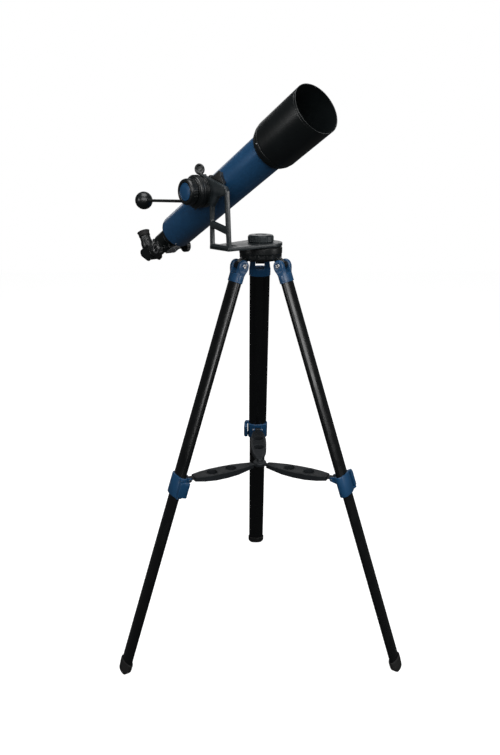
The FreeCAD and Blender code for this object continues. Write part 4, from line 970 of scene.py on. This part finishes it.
def arm_shells(mesh):
    """Boat-shaped plate: two ringed holes, a flange under its rim, ribs and two tongues."""
    ends = (ARM_HALF_WIDTHS[0][0], ARM_HALF_WIDTHS[-1][0])
    plan = [(x, w, 3 if x in ends else 14) for x, w in ARM_HALF_WIDTHS]
    plan += [(x, -w, corner) for x, w, corner in reversed(plan)]
    outline = anticlockwise(soften(plan, 12, steps=6))
    holes = [circle(16, 56, x, 0) for x in HOLE_CENTRES]
    slab(mesh, outline, 2.4, 5.0, 0.7, holes, steps=3)
    inner = inset(outline, 2.4)
    rings = []
    for points, z_of in ((outline, lambda p: 3.0), (outline, lambda p: arm_belly(p.x)),
                         (inner, lambda p: arm_belly(p.x)), (inner, lambda p: 3.0)):
        rings.append([mesh.verts.new(Vector((p.x, p.y, z_of(p)))) for p in points])
    for first, second in zip(rings, rings[1:] + rings[:1]):
        bridge(mesh, first, second)
    for x in HOLE_CENTRES:
        hoop(mesh, [(-10.8, 16), (-10.8, 18.3), (5.6, 18.3), (5.6, 16)], 0.6, at(x, 0, 0), 72)
    for x, half in ((-108.5, 22.0), (-46, 16.0), (-170, 15.5)):
        slab(mesh, anticlockwise([Vector((x - 1, -half)), Vector((x + 1, -half)), Vector((x + 1, half)),
                                  Vector((x - 1, half))]), -6.5, 3.0, 0.3, steps=1)
    for x_eye, x_root, half, radius in ((0.0, -20.0, 9.0, 6.0), (-ARM_REACH, -211.0, 5.9, 4.2)):
        low_x, high_x = sorted((x_eye, x_root))
        tongue = [Vector((low_x, -half)), Vector((high_x, -half)), Vector((high_x, half)),
                  Vector((low_x, half))]
        slab(mesh, tongue, -3, 3, 0.4)
        slab(mesh, circle(radius, 32, x_eye, 0), -half, half, 0.6, matrix=UPRIGHT)


def arm_pin_shells(mesh):
    lathe(mesh, [(-16.4, 0, 0), (-16.4, 2.4), (14.6, 2.4), (14.6, 4.2), (16.4, 3.8), (16.4, 0, 0)],
          0.3, ALONG_Y, 28)


def in_mm(place):
    """A local frame as a matrix for points in millimetres."""
    matrix = place.copy()
    matrix.translation = place.translation / MM
    return matrix


def all_hinges(mesh):
    for side in SIDES:
        single = bmesh.new()
        hinge_shells(single)
        add_copy(mesh, single, in_mm(LEG[side]))


def all_pins(mesh):
    for side in SIDES:
        single = bmesh.new()
        arm_pin_shells(single)
        add_copy(mesh, single, in_mm(ARM[side]))


def add_copy(mesh, single, matrix):
    """Moves a finished shell into another mesh."""
    bmesh.ops.transform(single, matrix=matrix, verts=single.verts)
    carrier = bpy.data.meshes.new("carrier")
    single.to_mesh(carrier)
    single.free()
    mesh.from_mesh(carrier)
    bpy.data.meshes.remove(carrier)


# Name, shape, frame, body, slot and the CAD nodes that the piece stands for.
TUBE_PIECES = (
    ("lacquered_tube", tube_shells, TUBE, "optical_tube", "tube_blue", "main_tube"),
    ("dew_shield_shell", shade_shells, TUBE, "optical_tube", "black_plastic", "dew_shield"),
    ("dew_shield_screws", shade_screw_shells, TUBE, "optical_tube", "steel"),
    ("objective_cell", cell_shells, TUBE, "optical_tube", "black_plastic", "lens_cell"),
    ("objective_retainer", retainer_shells, TUBE, "optical_tube", "black_metal", "retaining_ring"),
    ("focuser_casting", focuser_shells, TUBE, "optical_tube", "black_plastic", "focuser_body"),
    ("focuser_screws", focuser_screw_shells, TUBE, "optical_tube", "steel"),
    ("pinion_cover_plate", cover_shells, TUBE, "optical_tube", "cover_grey", "pinion_cover"),
    ("pinion_cover_screws", cover_screw_shells, TUBE, "optical_tube", "steel", "cover_screws"),
    ("dovetail", bar_shells, TUBE, "optical_tube", "black_metal", "dovetail_bar"),
    ("draw_tube", drawtube_shells, TUBE, "drawtube", "black_metal", "drawtube"),
    ("focus_lock", lock_screw_shells, TUBE, "focus_lock", "black_plastic", "focus_lock_screw"),
    ("draw_tube_screw", drawtube_screw_shells, TUBE, "drawtube_clamp", "black_plastic",
     "drawtube_screw"),
    ("eyepiece_clamp_screw", eyepiece_screw_shells, TUBE, "eyepiece_clamp", "black_plastic",
     "eyepiece_screw"),
    ("focus_wheels", focus_knob_shells, TUBE, "focus_shaft", "black_plastic", "focus_knobs"),
    ("focus_wheel_trim", knob_ring_shells, TUBE, "focus_shaft", "steel"),
    ("diagonal_body", diagonal_shells, TUBE, "diagonal", "black_plastic", "diagonal_housing"),
    ("eyepiece_barrel", eyepiece_shells, TUBE, "eyepiece", "black_plastic", "eyepiece_body"),
    ("eyepiece_cup", eyecup_shells, TUBE, "eyepiece", "rubber", "eyecup"),
)


MOUNT_PIECES = (
    ("dovetail_clamp", saddle_shells, TUBE, "altitude_head", "black_metal", "saddle"),
    ("saddle_paddle_screw", thumbscrew_shells, TUBE, "saddle_screw", "black_plastic",
     "saddle_thumbscrew"),
    ("bearing_housing", housing_shells, ALTITUDE, "mount_arm", "black_plastic", "altitude_housing"),
    ("bearing_hub", hub_shells, ALTITUDE, "altitude_head", "black_plastic", "altitude_hub"),
    ("tension_knob", altitude_knob_shells, ALTITUDE, "altitude_knob", "black_plastic", "altitude_knob"),
    ("tension_knob_cap", altitude_cap_shells, ALTITUDE, "altitude_knob", "blue_plastic",
     "altitude_knob_cap"),
    ("pan_rod", handle_rod_shells, ALTITUDE, "altitude_head", "black_metal", "handle_rod"),
    ("pan_ball", ball_shells, ALTITUDE, "altitude_head", "black_plastic", "handle_ball"),
    ("bracket_casting", bracket_shells, MOUNT, "mount_arm", "bracket_grey", "azimuth_bracket"),
    ("azimuth_wheel", azimuth_knob_shells, MOUNT, "azimuth_knob", "bracket_grey", "azimuth_knob"),
)


def build_tripod():
    make_piece("head_casting", head_shells, TRIPOD["back"], "tripod", "black_plastic", ["tripod_head"])
    make_piece("hinge_screws", all_hinges, ALONG_Z, "tripod", "steel", ["hinge_bolts"])
    make_piece("spreader_pivots", all_pins, ALONG_Z, "tripod", "steel", ["spreader_pins"])
    make_piece("spreader_centre", hub_plate_shells, TRIPOD["back"], "spreader_hub", "spreader_grey",
               ["spreader_hub"])
    for side in SIDES:
        leg = LEG[side]
        make_piece("yoke_" + side, cap_shells, leg, "tripod", "blue_plastic", ["leg_cap_" + side])
        make_piece("outer_tube_" + side, upper_leg_shells, leg, "tripod", "leg_black",
                   ["upper_leg_" + side])
        make_piece("clamp_collar_" + side, clamp_shells, leg, "tripod", "blue_plastic",
                   ["leg_clamp_" + side])
        make_piece("clamp_ears_" + side, ear_shells, ARM[side], "tripod", "blue_plastic")
        make_piece("flip_lever_" + side, lever_shells, leg, "clamp_lever_" + side, "blue_plastic",
                   ["clamp_lever_" + side])
        make_piece("inner_tube_" + side, lower_leg_shells, leg, "lower_leg_" + side, "leg_black",
                   ["lower_leg_" + side])
        make_piece("boot_" + side, foot_shells, leg, "lower_leg_" + side, "rubber", ["foot_" + side])
        make_piece("tray_arm_" + side, arm_shells, ARM[side], "spreader_arm_" + side, "spreader_grey",
                   ["spreader_arm_" + side])


# ---------------- studio

def studio():
    half = FLOOR_HALF
    mesh = bpy.data.meshes.new("floor")
    mesh.from_pydata([(-half, -half, 0), (half, -half, 0), (half, half, 0), (-half, half, 0)], [],
                     [(0, 1, 2, 3)])
    floor = bpy.data.objects.new("floor", mesh)
    bpy.context.scene.collection.objects.link(floor)
    material, tree, shader = new_material("studio_floor")
    shade = noise(tree, object_coordinates(tree), 3.0, 3.0)
    link(tree, blend_colours(tree, shade, (0.24, 0.24, 0.24), (0.27, 0.27, 0.27)),
         shader.inputs["Base Color"])
    set_sockets(shader, {"Roughness": 0.8, "Emission Color": (1, 1, 1, 1),
                         "Emission Strength": FLOOR_GLOW})
    mesh.materials.append(material)
    floor.visible_glossy = False
    floor.visible_diffuse = False


def backdrop():
    """White all round for the eye, and a much dimmer room for the light on the object."""
    world = bpy.data.worlds.new("studio")
    bpy.context.scene.world = world
    world.use_nodes = True
    tree = world.node_tree
    room = tree.nodes["Background"]
    set_sockets(room, {"Color": (0.94, 0.97, 1.0, 1), "Strength": ROOM_LIGHT})
    seen = tree.nodes.new("ShaderNodeBackground")
    set_sockets(seen, {"Color": (1, 1, 1, 1), "Strength": 1.0})
    path = tree.nodes.new("ShaderNodeLightPath")
    mix = tree.nodes.new("ShaderNodeMixShader")
    link(tree, path.outputs["Is Camera Ray"], mix.inputs["Fac"])
    link(tree, room.outputs["Background"], mix.inputs[1])
    link(tree, seen.outputs["Background"], mix.inputs[2])
    link(tree, mix.outputs["Shader"], tree.nodes["World Output"].inputs["Surface"])
    bpy.context.scene.view_settings.view_transform = "Standard"


def area_light(name, place, target, size, power):
    data = bpy.data.lights.new(name, "AREA")
    data.shape = "RECTANGLE"
    data.size, data.size_y = size
    data.energy = power
    light = bpy.data.objects.new(name, data)
    bpy.context.scene.collection.objects.link(light)
    light.location = place
    light.rotation_mode = "QUATERNION"
    light.rotation_quaternion = (Vector(target) - Vector(place)).to_track_quat("-Z", "Y")
    light.visible_camera = False


# Name, place, target, size and power in watts.
LIGHTS = (
    ("front_softbox", (0.1, -2.9, 2.55), (0.0, -0.1, 1.15), (3.2, 1.9), 92.0),
    ("left_softbox", (-2.6, -1.15, 1.75), (-0.1, -0.1, 1.1), (0.45, 1.3), 15.0),
    ("right_softbox", (2.6, -0.75, 1.75), (0.0, -0.1, 1.15), (1.1, 1.3), 27.0),
    ("back_softbox", (0.0, 2.8, 1.95), (0.0, 0.0, 1.2), (3.4, 1.1), 12.0),
    ("top_softbox", (0.0, -0.4, 4.2), (0.0, 0.0, 0.8), (2.4, 2.4), 90.0),
)


def camera():
    """Eye a little above the tripod head, turned slightly right and tilted down."""
    axis = joint_place("azimuth")
    data = bpy.data.cameras.new("studio_camera")
    data.lens = LENS
    data.sensor_width = SENSOR
    data.clip_end = 60.0
    camera_object = bpy.data.objects.new("studio_camera", data)
    bpy.context.scene.collection.objects.link(camera_object)
    camera_object.location = (axis.x + EYE_ASIDE, axis.y + EYE_BACK, EYE_HEIGHT)
    camera_object.rotation_euler = (math.radians(90.0 - EYE_TILT), 0.0, math.radians(EYE_TURN))
    bpy.context.scene.camera = camera_object


# ---------------- the scene

MATERIALS = make_materials()
dress_frame()
for piece_name, shape, place, body, slot, *nodes in TUBE_PIECES + MOUNT_PIECES:
    make_piece(piece_name, shape, place, body, slot, nodes)
build_tripod()
studio()
backdrop()
for light in LIGHTS:
    area_light(*light)
camera()
